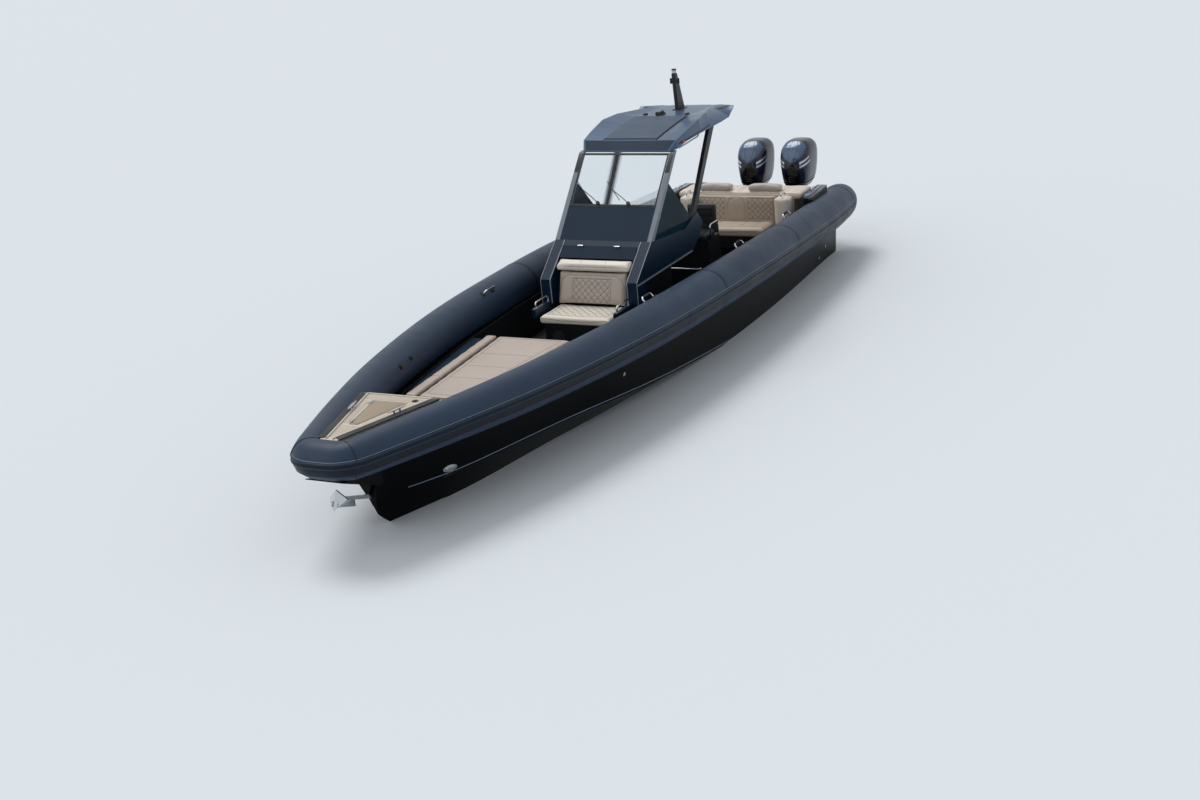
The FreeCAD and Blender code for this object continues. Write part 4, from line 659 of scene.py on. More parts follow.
def diamonds(place, across, down, width, height, pitch):
    # crossing diagonals over a panel, from its middle
    place, across, down = Vector(place), Vector(across), Vector(down)
    halfWidth, halfHeight = width / 2, height / 2
    count = int((halfWidth + halfHeight) / pitch)
    lines = []
    for turn in bothSides:
        for offset in (k * pitch for k in range(-count, count + 1)):
            low = max(-halfWidth, offset - halfHeight)
            high = min(halfWidth, offset + halfHeight)
            if high - low >= pitch * 0.3:
                lines.append([place + across * a + down * (turn * (a - offset)) for a in (low, high)])
    return lines


def loopOf(points):
    return [list(points) + [points[0]]]


def archOf(place, half):
    # a line up one side, over the top and down the other
    return [[place(-y, z) for y, z in half] + [place(y, z) for y, z in reversed(half)]]


def panelOf(place, y0, y1, z0, z1):
    return loopOf([place(y0, z0), place(y1, z0), place(y1, z1), place(y0, z1)])


def frameLine(box, inset):
    (x0, y0, z0), (x1, y1, z1) = box
    return loopOf([(x0 + inset, y0 + inset, z1), (x1 - inset, y0 + inset, z1),
                   (x1 - inset, y1 - inset, z1), (x0 + inset, y1 - inset, z1)])


def padHalf(x):
    # the sun deck's half width, from its wide end to its narrow one
    return 0.640 + (0.385 - 0.640) * (x - 1.880) / (4.560 - 1.880)


def deckPadLines(box):
    (x0, y0, z0), (x1, y1, z1) = box
    if y1 - y0 < 0.45:
        side = 1 if y0 + y1 > 0 else -1
        return [[(x, side * (padHalf(x) - inset), z1) for inset in (0.146, 0.004)] for x in (2.52, 3.32)]
    inset, outer, inner, crossings = 0.0, 0.022, 0.130, (4.18,)
    if x0 < 3.5:
        inset, outer, inner, crossings = 0.162, 0.020, 0.085, (2.52, 2.93, 3.32)
    lines = []
    for margin in (outer, inner):
        ends = ((x0 + margin, -1), (x1 - margin, -1), (x1 - margin, 1), (x0 + margin, 1))
        lines += loopOf([(x, side * (padHalf(x) - inset - margin), z1) for x, side in ends])
    return lines + [[(x, side * (padHalf(x) - inset - inner), z1) for side in bothSides] for x in crossings]


def seatLines(box):
    (x0, y0, z0), (x1, y1, z1) = box
    return (frameLine(box, 0.022) + frameLine(box, 0.092)
            + diamonds(((x0 + x1) / 2, 0, z1), toPort, ahead, y1 - y0 - 0.19, x1 - x0 - 0.19, 0.098))


backSlope = Vector((-0.333, 0, 1.0)).normalized()
backFacing = Vector((backSlope.z, 0, -backSlope.x))


def onBack(y, z):
    return Vector((0.473 - 0.333 * (z - 0.848), y, z))


def backrestLines(box):
    return (archOf(onBack, ((0.44, 0.87), (0.44, 1.08), (0.40, 1.155), (0.33, 1.205)))
            + panelOf(onBack, -0.26, 0.26, 0.885, 1.165)
            + diamonds(onBack(0, 1.025), toPort, backSlope, 0.50, 0.27, 0.085))


def headrestLines(box):
    lines = [[onBack(y, 1.262), onBack(y, 1.372)] for y in (-0.475, -0.17, 0.17, 0.475)]
    return lines + [[onBack(-0.475, 1.300), onBack(0.475, 1.300)]]


def helmLines(box):
    (x0, y0, z0), (x1, y1, z1) = box
    ends = (y0 + 0.03, y1 - 0.03)
    if x1 - x0 < 0.2:
        corners = [(x1, y, z0 + 0.04) for y in ends] + [(x1, y, z1 - 0.04) for y in reversed(ends)]
        return loopOf(corners) + [[(x1, y, z) for y in ends] for z in (1.16, 1.25, 1.34)]
    channels = [x0 + (x1 - x0) * share for share in (0.25, 0.5, 0.75)]
    return frameLine(box, 0.028) + [[(x, y, z1) for y in ends] for x in channels]


def benchLines(box):
    (x0, y0, z0), (x1, y1, z1) = box
    lines = frameLine(box, 0.024) + [[(-3.815, y0 + 0.024, z1), (-3.815, y1 - 0.024, z1)]]
    return lines + [[(x0 + 0.024, y, z1), (-3.815, y, z1)] for y in (-0.41, -0.205, 0.205, 0.41)]


def onBench(y, z):
    return Vector((-4.208 - 0.075 * (z - 0.630), y, z))


def benchBackLines(box):
    lines = archOf(onBench, ((0.135, 0.78), (0.135, 0.99), (0.10, 1.055), (0.04, 1.095)))
    for side in bothSides:
        lines += panelOf(onBench, side * 0.18, side * 0.57, 0.78, 1.075)
        lines += diamonds(onBench(side * 0.375, 0.928), toPort, (-0.075, 0, 0.997), 0.37, 0.28, 0.082)
    return lines


def returnLines(box):
    return frameLine(box, 0.034)


def aftPadLines(box):
    (x0, y0, z0), (x1, y1, z1) = box
    lines = frameLine(box, 0.030)
    lines += [[(x0 + 0.03, y, z1), (x1 - 0.03, y, z1)] for y in (-0.66, -0.02, 0.02, 0.66)]
    slants = [k * 0.118 for k in range(-7, 8) if abs(k) > 1]
    return lines + [[(x1 - 0.050, y, z1), (x1 - 0.125, y + 0.055, z1)] for y in slants]


def bolsterLines(box):
    (x0, y0, z0), (x1, y1, z1) = box
    return [[(x0 + 0.02, y, z1), (x1 - 0.02, y, z1)] for y in (y0 + 0.045, y1 - 0.045)]


plainCushion = {"fill": 0.6, "facing": (0.0, 0.0, 1.0)}
cushions = {
    "sundeck_pads": {"finish": "deckPadVinyl", "voxel": 0.020, "cap": 0.007, "fill": 0.7, "lines": deckPadLines,
                     "depth": 0.011},
    "front_seat_cushion": {"finish": "creamVinyl", "voxel": 0.014, "cap": 0.016, "lines": seatLines,
                           "depth": 0.009},
    "front_backrest": {"finish": "greyVinyl", "voxel": 0.014, "cap": 0.016, "lines": backrestLines,
                       "facing": tuple(backFacing), "depth": 0.010},
    "front_headrest": {"finish": "creamVinyl", "voxel": 0.014, "cap": 0.014, "lines": headrestLines,
                       "facing": tuple(backFacing), "depth": 0.007},
    "helm_seat_cushions": {"finish": "blackVinyl", "voxel": 0.016, "cap": 0.014, "lines": helmLines,
                           "depth": 0.009},
    "helm_seat_backs": {"finish": "blackVinyl", "voxel": 0.016, "cap": 0.012, "lines": helmLines,
                        "facing": (1.0, 0.0, 0.0), "depth": 0.008},
    "bench_seat": {"finish": "tanVinyl", "voxel": 0.017, "cap": 0.018, "lines": benchLines, "depth": 0.012},
    "bench_backrest": {"finish": "tanVinyl", "voxel": 0.015, "cap": 0.014, "lines": benchBackLines,
                       "facing": (0.9972, 0.0, 0.0748), "depth": 0.010},
    "bench_returns": {"finish": "creamVinyl", "voxel": 0.020, "cap": 0.009, "lines": returnLines,
                      "depth": 0.008},
    "aft_pad": {"finish": "aftPadVinyl", "voxel": 0.019, "cap": 0.014, "fill": 0.7, "lines": aftPadLines,
                "depth": 0.010},
    "bench_bolsters": {"finish": "bolsterVinyl", "voxel": 0.014, "cap": 0.014, "lines": bolsterLines,
                       "depth": 0.008},
}


def addCushion(node, number, shape, values):
    bmesh.ops.recalc_face_normals(shape, faces=shape.faces)
    low, high = (Vector([end(vert.co[k] for vert in shape.verts) for k in range(3)]) for end in (min, max))
    middle = (low + high) / 2
    for vert in shape.verts:
        for k in range(3):
            half = (high[k] - low[k]) / 2
            vert.co[k] = middle[k] + (vert.co[k] - middle[k]) * max(0.1, (half - stuffing["shrink"]) / half)
    piece = addPiece(f"pad_{node}_{number}", shape, values["finish"], sharpAngle=180)
    swell(piece, values["voxel"], values["cap"])
    lines = values["lines"]((low, high))
    pressChannels(piece, lines, values["facing"], values["depth"])
    piece.data.polygons.foreach_set("use_smooth", [True] * len(piece.data.polygons))
    smooth = piece.modifiers.new("smooth", "CORRECTIVE_SMOOTH")
    smooth.iterations = 2
    smooth.use_only_smooth = True
    finer = piece.modifiers.new("subdivision", "SUBSURF")
    finer.levels = 1
    finer.render_levels = 1
    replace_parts(piece, node)
    bpy.context.view_layer.update()
    threadLines(f"seam_{node}_{number}", piece, lines, values["facing"])


for node, values in cushions.items():
    for number, part in enumerate(looseParts(node)):
        addCushion(node, number, part, {**plainCushion, **values})
    print("cushion", node)


# Tools that lay thin pieces on a form's own skin

def surfaceOf(name):
    mesh = nodes[name].data
    return BVHTree.FromPolygons([vert.co.copy() for vert in mesh.vertices],
                                [list(polygon.vertices) for polygon in mesh.polygons])


def layOn(surface, start, way, reach=4.0):
    # where a ray lands, and the way out of the skin there
    way = Vector(way).normalized()
    hit, normal = surface.ray_cast(Vector(start), way, reach)[:2]
    if hit is None:
        raise RuntimeError(f"nothing to lay a piece on at {start}")
    return hit, (normal if normal.dot(way) < 0 else -normal)


def raised(landing, rise):
    return landing[0] + landing[1] * rise


def addPatch(shape, rows, rise, sink=0.001):
    # rows of landings make a thin closed skin; rise may differ from column to column
    count = len(rows[0])
    rises = rise if isinstance(rise, tuple) else [rise] * count
    top = [[shape.verts.new(raised(landing, lift)) for landing, lift in zip(row, rises)] for row in rows]
    low = [[shape.verts.new(raised(landing, -sink)) for landing in row] for row in rows]
    for j in range(len(rows) - 1):
        for k in range(count - 1):
            shape.faces.new((top[j][k], top[j][k + 1], top[j + 1][k + 1], top[j + 1][k]))
            shape.faces.new((low[j][k], low[j + 1][k], low[j + 1][k + 1], low[j][k + 1]))
    border = [(0, k) for k in range(count)] + [(j, count - 1) for j in range(1, len(rows))]
    border += [(len(rows) - 1, k) for k in range(count - 2, -1, -1)] + [(j, 0) for j in range(len(rows) - 2, 0, -1)]
    for (a, b), (c, d) in zip(border, border[1:] + border[:1]):
        shape.faces.new((top[a][b], low[a][b], low[c][d], top[c][d]))


def bentPath(points, bend=0.03, steps=5):
    # the same path with its corners rounded
    points = [Vector(point) for point in points]
    path = [points[0]]
    for before, corner, after in zip(points, points[1:], points[2:]):
        start, end = (corner + (other - corner).normalized() * min(bend, (other - corner).length * 0.45)
                      for other in (before, after))
        for share in (k / steps for k in range(steps + 1)):
            path.append(start.lerp(corner, share).lerp(corner.lerp(end, share), share))
    return path + [points[-1]]


def addBolt(shape, place, facing, radius, thick):
    addDisc(shape, place, facing, radius * 1.35, 0.0016, 18)
    addDisc(shape, place, facing, radius, thick, 6)


def addLevelPlate(shape, corners, level, thick, bevel):
    addPlate(shape, [(x, y, level) for x, y in corners], (0, 0, thick), bevel)


# Hull: a spray rail along each chine, pale as a painted highlight of the light caught along the chine, then an oval
# eye plate and drains
chinePoints = (
    (-5.40, 1.000, -0.170), (-3.40, 1.060, -0.130), (-1.40, 1.090, -0.040), (0.60, 1.060, 0.130),
    (2.10, 0.930, 0.270), (3.53, 0.650, 0.330), (4.489, 0.400, 0.335), (4.998, 0.190, 0.340),
)
hullFittings = {"railAbove": 0.022, "railRadius": 0.0062, "eyePlate": (4.552, 0.406), "eyeHalf": (0.090, 0.042),
                "drains": ((3.949, -0.202), (1.833, 0.516), (-4.6, 0.12), (-4.9, 0.22)),
                "drain": ((-0.004, 0.024, 0.010, 20), (0.005, 0.014, 0.004, 16))}
hullSkin = surfaceOf("hull")
# The rails' pale colour is a painted highlight of the light along the chines
railShape = bmesh.new()
addRod(railShape, [raised(layOn(hullSkin, (x, y + 0.6, z + hullFittings["railAbove"]), -toPort), 0.001)
                   for x, y, z in curveThrough(chinePoints, 8)], hullFittings["railRadius"], 8)
mirrorCopy(railShape)
addPiece("sprayRailHighlights", railShape, "strakeLine")

eyeShape = bmesh.new()
x, z = hullFittings["eyePlate"]
hit, normal = layOn(hullSkin, (x, 2.0, z), -toPort)
along = (ahead - normal * normal.x).normalized()
across = normal.cross(along)
long, wide = hullFittings["eyeHalf"]
for grow, rise, sunk in ((1.0, 0.006, -0.004), (0.62, 0.012, 0.004)):
    joinRings(eyeShape, [circle(hit + normal * out, along * long, across * wide, grow * share, 32)
                         for out, share in ((sunk, 1), (rise * 0.7, 1), (rise, 0.9))])
for x, z in hullFittings["drains"]:
    addDiscs(eyeShape, *layOn(hullSkin, (x, 2.0, z), -toPort), hullFittings["drain"])
mirrorCopy(eyeShape)
addPiece("hullFittings", eyeShape, "stainlessSteel")

# Foredeck: rubber strip and cream edging round it, non-slip panels, the lid's own panel, hinge leaves,
# latch and the feet under the two cleats
deck = {"level": 1.1595, "panelLevel": 1.1596, "strip": (-0.024, 0.058, 0.012), "edging": (0.060, 0.078, 0.016),
        "edgeBevel": 0.004, "panelThick": 0.0026, "panelBevel": 0.001, "margin": 0.082, "aftMargin": 0.084,
        "lidGap": 0.032, "lidMargin": 0.020, "lidThick": 0.0035, "lidBevel": 0.0012,
        "hingeRadius": 0.0092, "latch": ((0, 0.034, 0.008, 28), (0.007, 0.018, 0.006, 20)),
        "cleatFoot": (0.021, 0.006, 22)}


def deckHalf(x):
    return 0.455 - 0.360 * (x - 4.600) / 1.235


def lidHalf(x):
    return 0.205 - 0.160 * (x - 4.780) / 0.640


def crossPanel(shape, x0, x1, halfOf, margin, thick, bevel):
    # a panel over the deck's middle, at each end as wide as halfOf says less its margin
    corners = [(x, side * (halfOf(x) - margin)) for x, side in ((x0, -1), (x1, -1), (x1, 1), (x0, 1))]
    addLevelPlate(shape, corners, deck["panelLevel"], thick, bevel)


edgeRubber = bmesh.new()
edgingShape = bmesh.new()
for shape, (outer, inner, height) in ((edgeRubber, deck["strip"]), (edgingShape, deck["edging"])):
    ends = ((4.608, outer), (5.822, outer), (5.775, inner), (4.640, inner))
    addLevelPlate(shape, [(x, deckHalf(x) - margin) for x, margin in ends], deck["level"], height, deck["edgeBevel"])
    mirrorCopy(shape)
corners = ((4.603, -0.390), (4.603, 0.390), (4.622, 0.380), (4.622, -0.380))
addLevelPlate(edgingShape, corners, deck["level"], 0.012, deck["edgeBevel"])
addPiece("foredeckRubber", edgeRubber, "blackRubber")
addPiece("foredeckEdging", edgingShape, "creamGelcoat")
panelShape = bmesh.new()
corners = [(x, deckHalf(x) - deck["margin"]) for x in (4.795, 5.400)]
corners += [(x, lidHalf(x) + deck["lidGap"]) for x in (5.400, 4.795)]
addLevelPlate(panelShape, corners, deck["panelLevel"], deck["panelThick"], deck["panelBevel"])
mirrorCopy(panelShape)
crossPanel(panelShape, 5.455, 5.740, deckHalf, deck["margin"], deck["panelThick"], deck["panelBevel"])
crossPanel(panelShape, 4.655, 4.752, deckHalf, deck["aftMargin"], deck["panelThick"], deck["panelBevel"])
addPiece("foredeckPanels", panelShape, "nonSlipCream")
lidShape = bmesh.new()
crossPanel(lidShape, 4.800, 5.395, lidHalf, deck["lidMargin"], deck["lidThick"], deck["lidBevel"])
addPiece("lidPanel", lidShape, "deckInlay", body="anchor_lid")
leafShape = bmesh.new()
hingeStart = Vector((4.780, -0.208, 1.168))
hingeEnd = Vector((5.420, -0.048, 1.168))
forward = (hingeEnd - hingeStart).normalized()
boltShift = Vector((forward.y, -forward.x, 0)) * 0.022 - up * 0.0032
for share in (0.07, 0.86):
    middle = hingeStart.lerp(hingeEnd, share)
    addRod(leafShape, [middle - forward * 0.022, middle + forward * 0.056], deck["hingeRadius"], 14)
    for step in (-0.012, 0.017, 0.046):
        addBolt(leafShape, middle + forward * step + boltShift, up, 0.004, 0.003)
addPiece("hingeLeaves", leafShape, "stainlessSteel")
latchShape = bmesh.new()
heading = -math.atan2(0.160, 0.640)
for step in (-0.038, 0.038):
    foot = (5.060 + step * math.cos(heading), 0.262 + step * math.sin(heading), 1.159)
    addDisc(latchShape, foot, up, *deck["cleatFoot"])
mirrorCopy(latchShape)
addDiscs(latchShape, (4.715, 0.245, 1.159), up, deck["latch"])
addPiece("deckLatch", latchShape, "blackPlastic")

# Stem: the bow roller's cheeks and its pin
rollerShape = bmesh.new()
cheek = ((5.62, 0.400), (5.90, 0.505), (5.90, 0.560), (5.62, 0.480))
addPlate(rollerShape, [(x, 0.030, z) for x, z in cheek], (0, 0.006, 0), 0.002)
mirrorCopy(rollerShape)
addRod(rollerShape, [(5.875, -0.036, 0.530), (5.875, 0.036, 0.530)], 0.008)
addPiece("bowRoller", rollerShape, "stainlessSteel")
print("bow")

# Cockpit floor: dark ribbed panels over the sole in the walkways and between the seats, painted shade where the floor
# lies in shade, and hatches with a round pull
sole = {"level": 0.3496, "thick": 0.0044, "bevel": 0.0016, "middleHalf": 0.655,
        "walkway": ((-3.60, 0.672), (-3.60, 0.920), (-1.40, 1.010), (0.60, 0.950), (1.84, 0.850), (1.84, 0.672)),
        "middles": ((-2.04, -0.74), (-3.62, -2.52), (0.955, 1.840)),
        "hatches": ((1.10, 1.60, 0.25), (-3.35, -2.80, 0.30), (-1.70, -1.25, 0.24))}
# Dark panels in the walkways and between the seats: painted shade where the floor lies in shade
soleShadeShape = bmesh.new()
addLevelPlate(soleShadeShape, sole["walkway"], sole["level"], sole["thick"], sole["bevel"])
mirrorCopy(soleShadeShape)
for x0, x1 in sole["middles"]:
    corners = [(x, side * sole["middleHalf"]) for x, side in ((x0, -1), (x0, 1), (x1, 1), (x1, -1))]
    addLevelPlate(soleShadeShape, corners, sole["level"], sole["thick"], sole["bevel"])
addPiece("soleShadePanels", soleShadeShape, "soleShadeRibs")
hatchShape = bmesh.new()
for x0, x1, half in sole["hatches"]:
    addBox(hatchShape, (x0, -half, 0.352), (x1, half, 0.3575), 0.0015)
    addDisc(hatchShape, (x0 + 0.05, 0, 0.357), up, 0.028, 0.003)
addPiece("soleHatches", hatchShape, "blackPlastic")

# Bow locker: two doors under the sun deck, their latches and hinges
doorShape = bmesh.new()
addBox(doorShape, (1.8685, 0.06, 0.43), (1.8805, 0.58, 0.80), 0.004)
mirrorCopy(doorShape)
addPiece("lockerDoors", doorShape, "navyGelcoat")
doorLatch = bmesh.new()
addDiscs(doorLatch, (1.8690, 0.16, 0.70), -ahead, ((0, 0.026, 0.006, 24), (0.005, 0.014, 0.008, 18)))
for z in (0.50, 0.73):
    addRod(doorLatch, [(1.866, 0.584, z - 0.03), (1.866, 0.584, z + 0.03)], 0.006)
mirrorCopy(doorLatch)
addPiece("doorLatches", doorLatch, "stainlessSteel")

# Console: pale rods along its arms' edges and a pale strip on the step low on its flanks, painted highlights where
# these edges catch the light; seat rails, lid hinges, speakers
console = {"armEdgeHighlights": ((0.523, 0.0062), (0.655, 0.0045)),
           "armPath": ((0.4915, 0.874), (0.4915, 1.171), (0.018, 1.5465)),
           "strip": ((-1.150, 0.6600, 1.124), (0.484, 0.6640, 1.146)), "seatRail": (0.55, 0.0105, 0.045),
           "seatRailPath": ((0.545, 0.913), (0.545, 0.995), (0.860, 0.985), (0.860, 0.913)),
           "lidPin": (0.1283, 1.5137), "hingeAt": 0.25, "hingeHalf": 0.037, "hingeRadius": 0.0088,
           "speaker": ((0, 0.084, 0.006, 40), (0.0055, 0.066, 0.005, 36), (0.010, 0.022, 0.006, 24))}
# Painted highlights: pale rods on the arms' edges and a pale strip on the flank step, where the light catches them
highlightShape = bmesh.new()
for y, radius in console["armEdgeHighlights"]:
    addRod(highlightShape, bentPath([(x, y, z) for x, z in console["armPath"]]), radius, 10)
addBox(highlightShape, *console["strip"], 0.0012)
mirrorCopy(highlightShape)
addPiece("consoleEdgeHighlights", highlightShape, "paleHighlight")
railShape = bmesh.new()
y, radius, bend = console["seatRail"]
addRod(railShape, bentPath([(x, y, z) for x, z in console["seatRailPath"]], bend), radius, 14)
for x in (0.545, 0.860):
    addDisc(railShape, (x, y, 0.9145), up, 0.022, 0.005, 22)
mirrorCopy(railShape)
addPiece("seatGrabRails", railShape, "stainlessSteel")
lidHinges = bmesh.new()
x, z = console["lidPin"]
addRod(lidHinges, [(x, console["hingeAt"] + end * console["hingeHalf"], z) for end in bothSides],
       console["hingeRadius"], 14)
mirrorCopy(lidHinges)
addPiece("consoleHinges", lidHinges, "stainlessSteel", body="console_lid")
speakerShape = bmesh.new()
addDiscs(speakerShape, (0.9095, 0.24, 0.585), ahead, console["speaker"])
mirrorCopy(speakerShape)
addPiece("speakers", speakerShape, "blackPlastic")

# Windscreen: rubber round its panes, dark sheets over the pillars' upper parts as painted shade where the roof shades
# them, and two wipers
screenOut = Vector((0.7348, 0, 0.6783))
screen = {"half": 0.598, "rubberIn": 0.578, "rubber": (-0.0004, 0.0042), "bands": ((1.902, 1.922), (2.434, 2.456)),
          "post": (1.9225, 2.4335), "cap": (0.0002, 0.0030), "shadeAcross": (0.603, 0.657), "shadeUp": (2.255, 2.452),
          "sidePath": ((-0.086, 1.556), (-0.6145, 2.143), (-1.228, 1.546)), "wipers": (-0.20, 0.22),
          "arm": ((0, 1.930, 0.022), (0.10, 1.985, 0.030), (0.255, 2.062, 0.016)),
          "blade": ((0.13, 1.962, 0.0095), (0.255, 2.062, 0.0115), (0.37, 2.155, 0.0095))}


def onScreen(y, z, lift=0.0):
    return Vector((0.010 - (z - 1.550) * 0.840 / 0.910, y, z)) + screenOut * lift


def screenPlate(shape, y0, y1, low, high, lift, thick):
    corners = [onScreen(y, z, lift) for y, z in ((y0, low), (y1, low), (y1, high), (y0, high))]
    addPlate(shape, corners, screenOut * thick, 0.001)


frameShape = bmesh.new()
screenPlate(frameShape, screen["half"], screen["rubberIn"], *screen["post"], *screen["rubber"])
addRod(frameShape, bentPath([(x, 0.635, z) for x, z in screen["sidePath"]]), 0.0068, 10)
mirrorCopy(frameShape)
for low, high in screen["bands"]:
    screenPlate(frameShape, -screen["half"], screen["half"], low, high, *screen["rubber"])
addPiece("windowRubber", frameShape, "blackRubber")
# Dark sheets over the pillars' upper parts: painted shade where the roof's shadow falls on them
pillarShadeShape = bmesh.new()
screenPlate(pillarShadeShape, *screen["shadeAcross"], *screen["shadeUp"], *screen["cap"])
mirrorCopy(pillarShadeShape)
addPiece("pillarTopShade", pillarShadeShape, "blackPowderCoat")
wiperShape = bmesh.new()
for y in screen["wipers"]:
    addDisc(wiperShape, onScreen(y, 1.930, -0.002), screenOut, 0.024, 0.026, 20)
    for run, radius in ((screen["arm"], 0.0052), (screen["blade"], 0.0048)):
        addRod(wiperShape, [onScreen(y - shift, z, lift) for shift, z, lift in run], radius, 8)
addPiece("wipers", wiperShape, "blackPlastic")
print("console")

# Dash: display, switch panel, gauges and buttons on its sloping face, and the wheel's cap
dashOut = Vector((-0.841, 0, 0.541))
dash = {"gauges": (-0.315, -0.125), "buttons": 6, "buttonStart": 0.175, "buttonPitch": 0.058, "buttonWide": 0.040,
        "wheel": (-0.22, 0.1665, 0.100)}


def onDash(y, down, lift=0.0):
    return Vector((-0.640 - 0.541 * down, y, 1.620 - 0.841 * down)) + dashOut * lift


def dashPlate(shape, y0, y1, low, high, lift, thick, bevel):
    corners = [onDash(y, down, lift) for y, down in ((y0, low), (y1, low), (y1, high), (y0, high))]
    addPlate(shape, corners, dashOut * thick, bevel)


bezelShape = bmesh.new()
glassShape = bmesh.new()
dashPlate(bezelShape, 0.160, 0.520, 0.030, 0.262, -0.001, 0.014, 0.004)
dashPlate(bezelShape, -0.560, -0.440, 0.030, 0.262, -0.001, 0.010, 0.003)
dashPlate(glassShape, 0.176, 0.504, 0.046, 0.246, 0.0125, 0.002, 0.0006)
for y in dash["gauges"]:
    addDisc(bezelShape, onDash(y, 0.070, -0.001), dashOut, 0.052, 0.012, 36)
    addDisc(glassShape, onDash(y, 0.070, 0.0105), dashOut, 0.043, 0.002, 32)
for k in range(dash["buttons"]):
    y = dash["buttonStart"] + dash["buttonPitch"] * k
    dashPlate(bezelShape, y, y + dash["buttonWide"], 0.282, 0.316, -0.001, 0.010, 0.002)
addPiece("dashBezels", bezelShape, "blackPlastic")
addPiece("dashGlass", glassShape, "displayGlass")
wheelHub = bmesh.new()
wheelCentre = onDash(*dash["wheel"])
addDisc(wheelHub, wheelCentre - dashOut * 0.016, dashOut, 0.040, 0.010, 32)
addDisc(wheelHub, wheelCentre - dashOut * 0.007, dashOut, 0.028, 0.005, 28)
addPiece("wheelCap", wheelHub, "stainlessSteel", body="steering_wheel")

# Helm seats: side rails, foot rail and the drawers behind
helm = {"armAt": 0.468, "armPath": ((-2.440, 1.012), (-2.440, 1.210), (-2.180, 1.210), (-2.180, 1.012)),
        "footPath": ((-2.078, -0.36, 0.66), (-2.010, -0.36, 0.64), (-2.010, 0.36, 0.64), (-2.078, 0.36, 0.66)),
        "bend": 0.05, "armRadius": 0.011, "footRadius": 0.013, "drawers": ((0.40, 0.66), (0.68, 0.96))}
helmShape = bmesh.new()
addRod(helmShape, bentPath([(x, helm["armAt"], z) for x, z in helm["armPath"]], helm["bend"]), helm["armRadius"], 14)
mirrorCopy(helmShape)
addRod(helmShape, bentPath(helm["footPath"], helm["bend"]), helm["footRadius"], 14)
addPiece("helmRails", helmShape, "stainlessSteel")
drawerShape = bmesh.new()
for low, high in helm["drawers"]:
    addBox(drawerShape, (-2.4920, 0.01, low), (-2.4800, 0.44, high), 0.004)
    addBox(drawerShape, (-2.5010, 0.155, high - 0.055), (-2.4915, 0.295, high - 0.035), 0.003)
mirrorCopy(drawerShape)
addPiece("helmDrawers", drawerShape, "blackPlastic")

# Hard top: dark fascia and flank stripes, seals round the panel, vents, horn, lining, lamps and rails
roof = {"stripeRise": 0.0022, "stripeSink": 0.0006, "seal": 0.0046, "frontSeal": 0.0028, "ventRise": 0.0016,
        "liningRise": 0.006, "horn": (-1.985, -0.060, 2.7045), "railAt": 0.575, "railDrop": 0.070,
        "lamps": [(x, y) for x in (-1.25, -1.95) for y in (-0.30, 0.30)]}
roofSkin = surfaceOf("hard_top")


def roofTop(x, y):
    return layOn(roofSkin, (x, y, 3.2), -up)


def roofUnder(x, y):
    return layOn(roofSkin, (x, y, 1.9), up)


def roofLine(x, run, y, steps, rise):
    return [raised(roofTop(x + run * step / steps, y), rise) for step in range(steps + 1)]


fasciaShape = bmesh.new()
fasciaRows = []
for share in (step / 8 for step in range(9)):
    ys = [(-0.572 + 1.144 * k / 16) * (1 + 0.085 * share) for k in range(17)]
    fasciaRows.append([roofTop(-0.8405 - 0.1095 * share, y) for y in ys])
addPatch(fasciaShape, fasciaRows, roof["stripeRise"], roof["stripeSink"])
addPiece("roofFascia", fasciaShape, "roofDark")
flankShape = bmesh.new()
lineShape = bmesh.new()
ventShape = bmesh.new()
for side in bothSides:
    rows = []
    for x in (-0.99, -1.20, -1.40, -1.60, -1.76, -1.93):
        low = 2.531 + 0.055 * (-0.99 - x) / 0.94
        rows.append([layOn(roofSkin, (x, side * 2.0, low + above), -side * toPort) for above in (0.0, 0.009, 0.018)])
    addPatch(flankShape, rows, roof["stripeRise"], roof["stripeSink"])
    addRod(lineShape, roofLine(-0.96, -0.98, side * 0.3705, 24, 0.0012), roof["seal"], 8)
    addRod(lineShape, roofLine(-0.843, -0.108, side * 0.386, 5, 0.0016), roof["frontSeal"], 6)
    rows = []
    for share in (step / 4 for step in range(5)):
        middle = side * (0.500 + 0.105 * share)
        rows.append([roofTop(-2.600 - 0.140 * share, middle + offset) for offset in (-0.030, 0.0, 0.030)])
    addPatch(ventShape, rows, roof["ventRise"])
    addBox(ventShape, (-2.130, side * 0.30 - 0.022, 2.694), (-2.060, side * 0.30 + 0.022, 2.7205), 0.006, 3)
addPiece("roofFlankStripe", flankShape, "roofDark")
addRod(lineShape, [roofTop(-1.9375, y)[0] for y in (-0.366, -0.18, 0.0, 0.18, 0.366)], roof["seal"], 8)
addPiece("roofSeals", lineShape, "blackRubber")
horn = Vector(roof["horn"])
hornAxis = horn + up * 0.032
addBox(ventShape, horn + Vector((-0.175, -0.024, -0.006)), horn + Vector((0.035, 0.024, 0.020)), 0.006, 3)
addRod(ventShape, [hornAxis + ahead * shift for shift in (-0.150, 0.020, 0.040)], 0.015, 18)
addDisc(ventShape, hornAxis + ahead * 0.030, ahead, 0.026, 0.012, 26)
addPiece("roofFittings", ventShape, "blackPlastic")
liningShape = bmesh.new()
liningPlaces = (-1.02, -1.20, -1.40, -1.60, -1.93, -2.15, -2.30, -2.44, -2.56)
addPatch(liningShape, [[roofUnder(x, y) for y in (-0.44, -0.22, 0, 0.22, 0.44)] for x in liningPlaces],
         roof["liningRise"])
addPiece("roofLining", liningShape, "headLining")
lampShape = bmesh.new()
rimShape = bmesh.new()
for x, y in roof["lamps"]:
    hit, normal = roofUnder(x, y)
    addDisc(rimShape, hit + normal * 0.005, normal, 0.042, 0.007, 32)
    addDisc(lampShape, hit + normal * 0.0118, normal, 0.032, 0.004, 28)
addPiece("ceilingLamps", lampShape, "lampGlass")
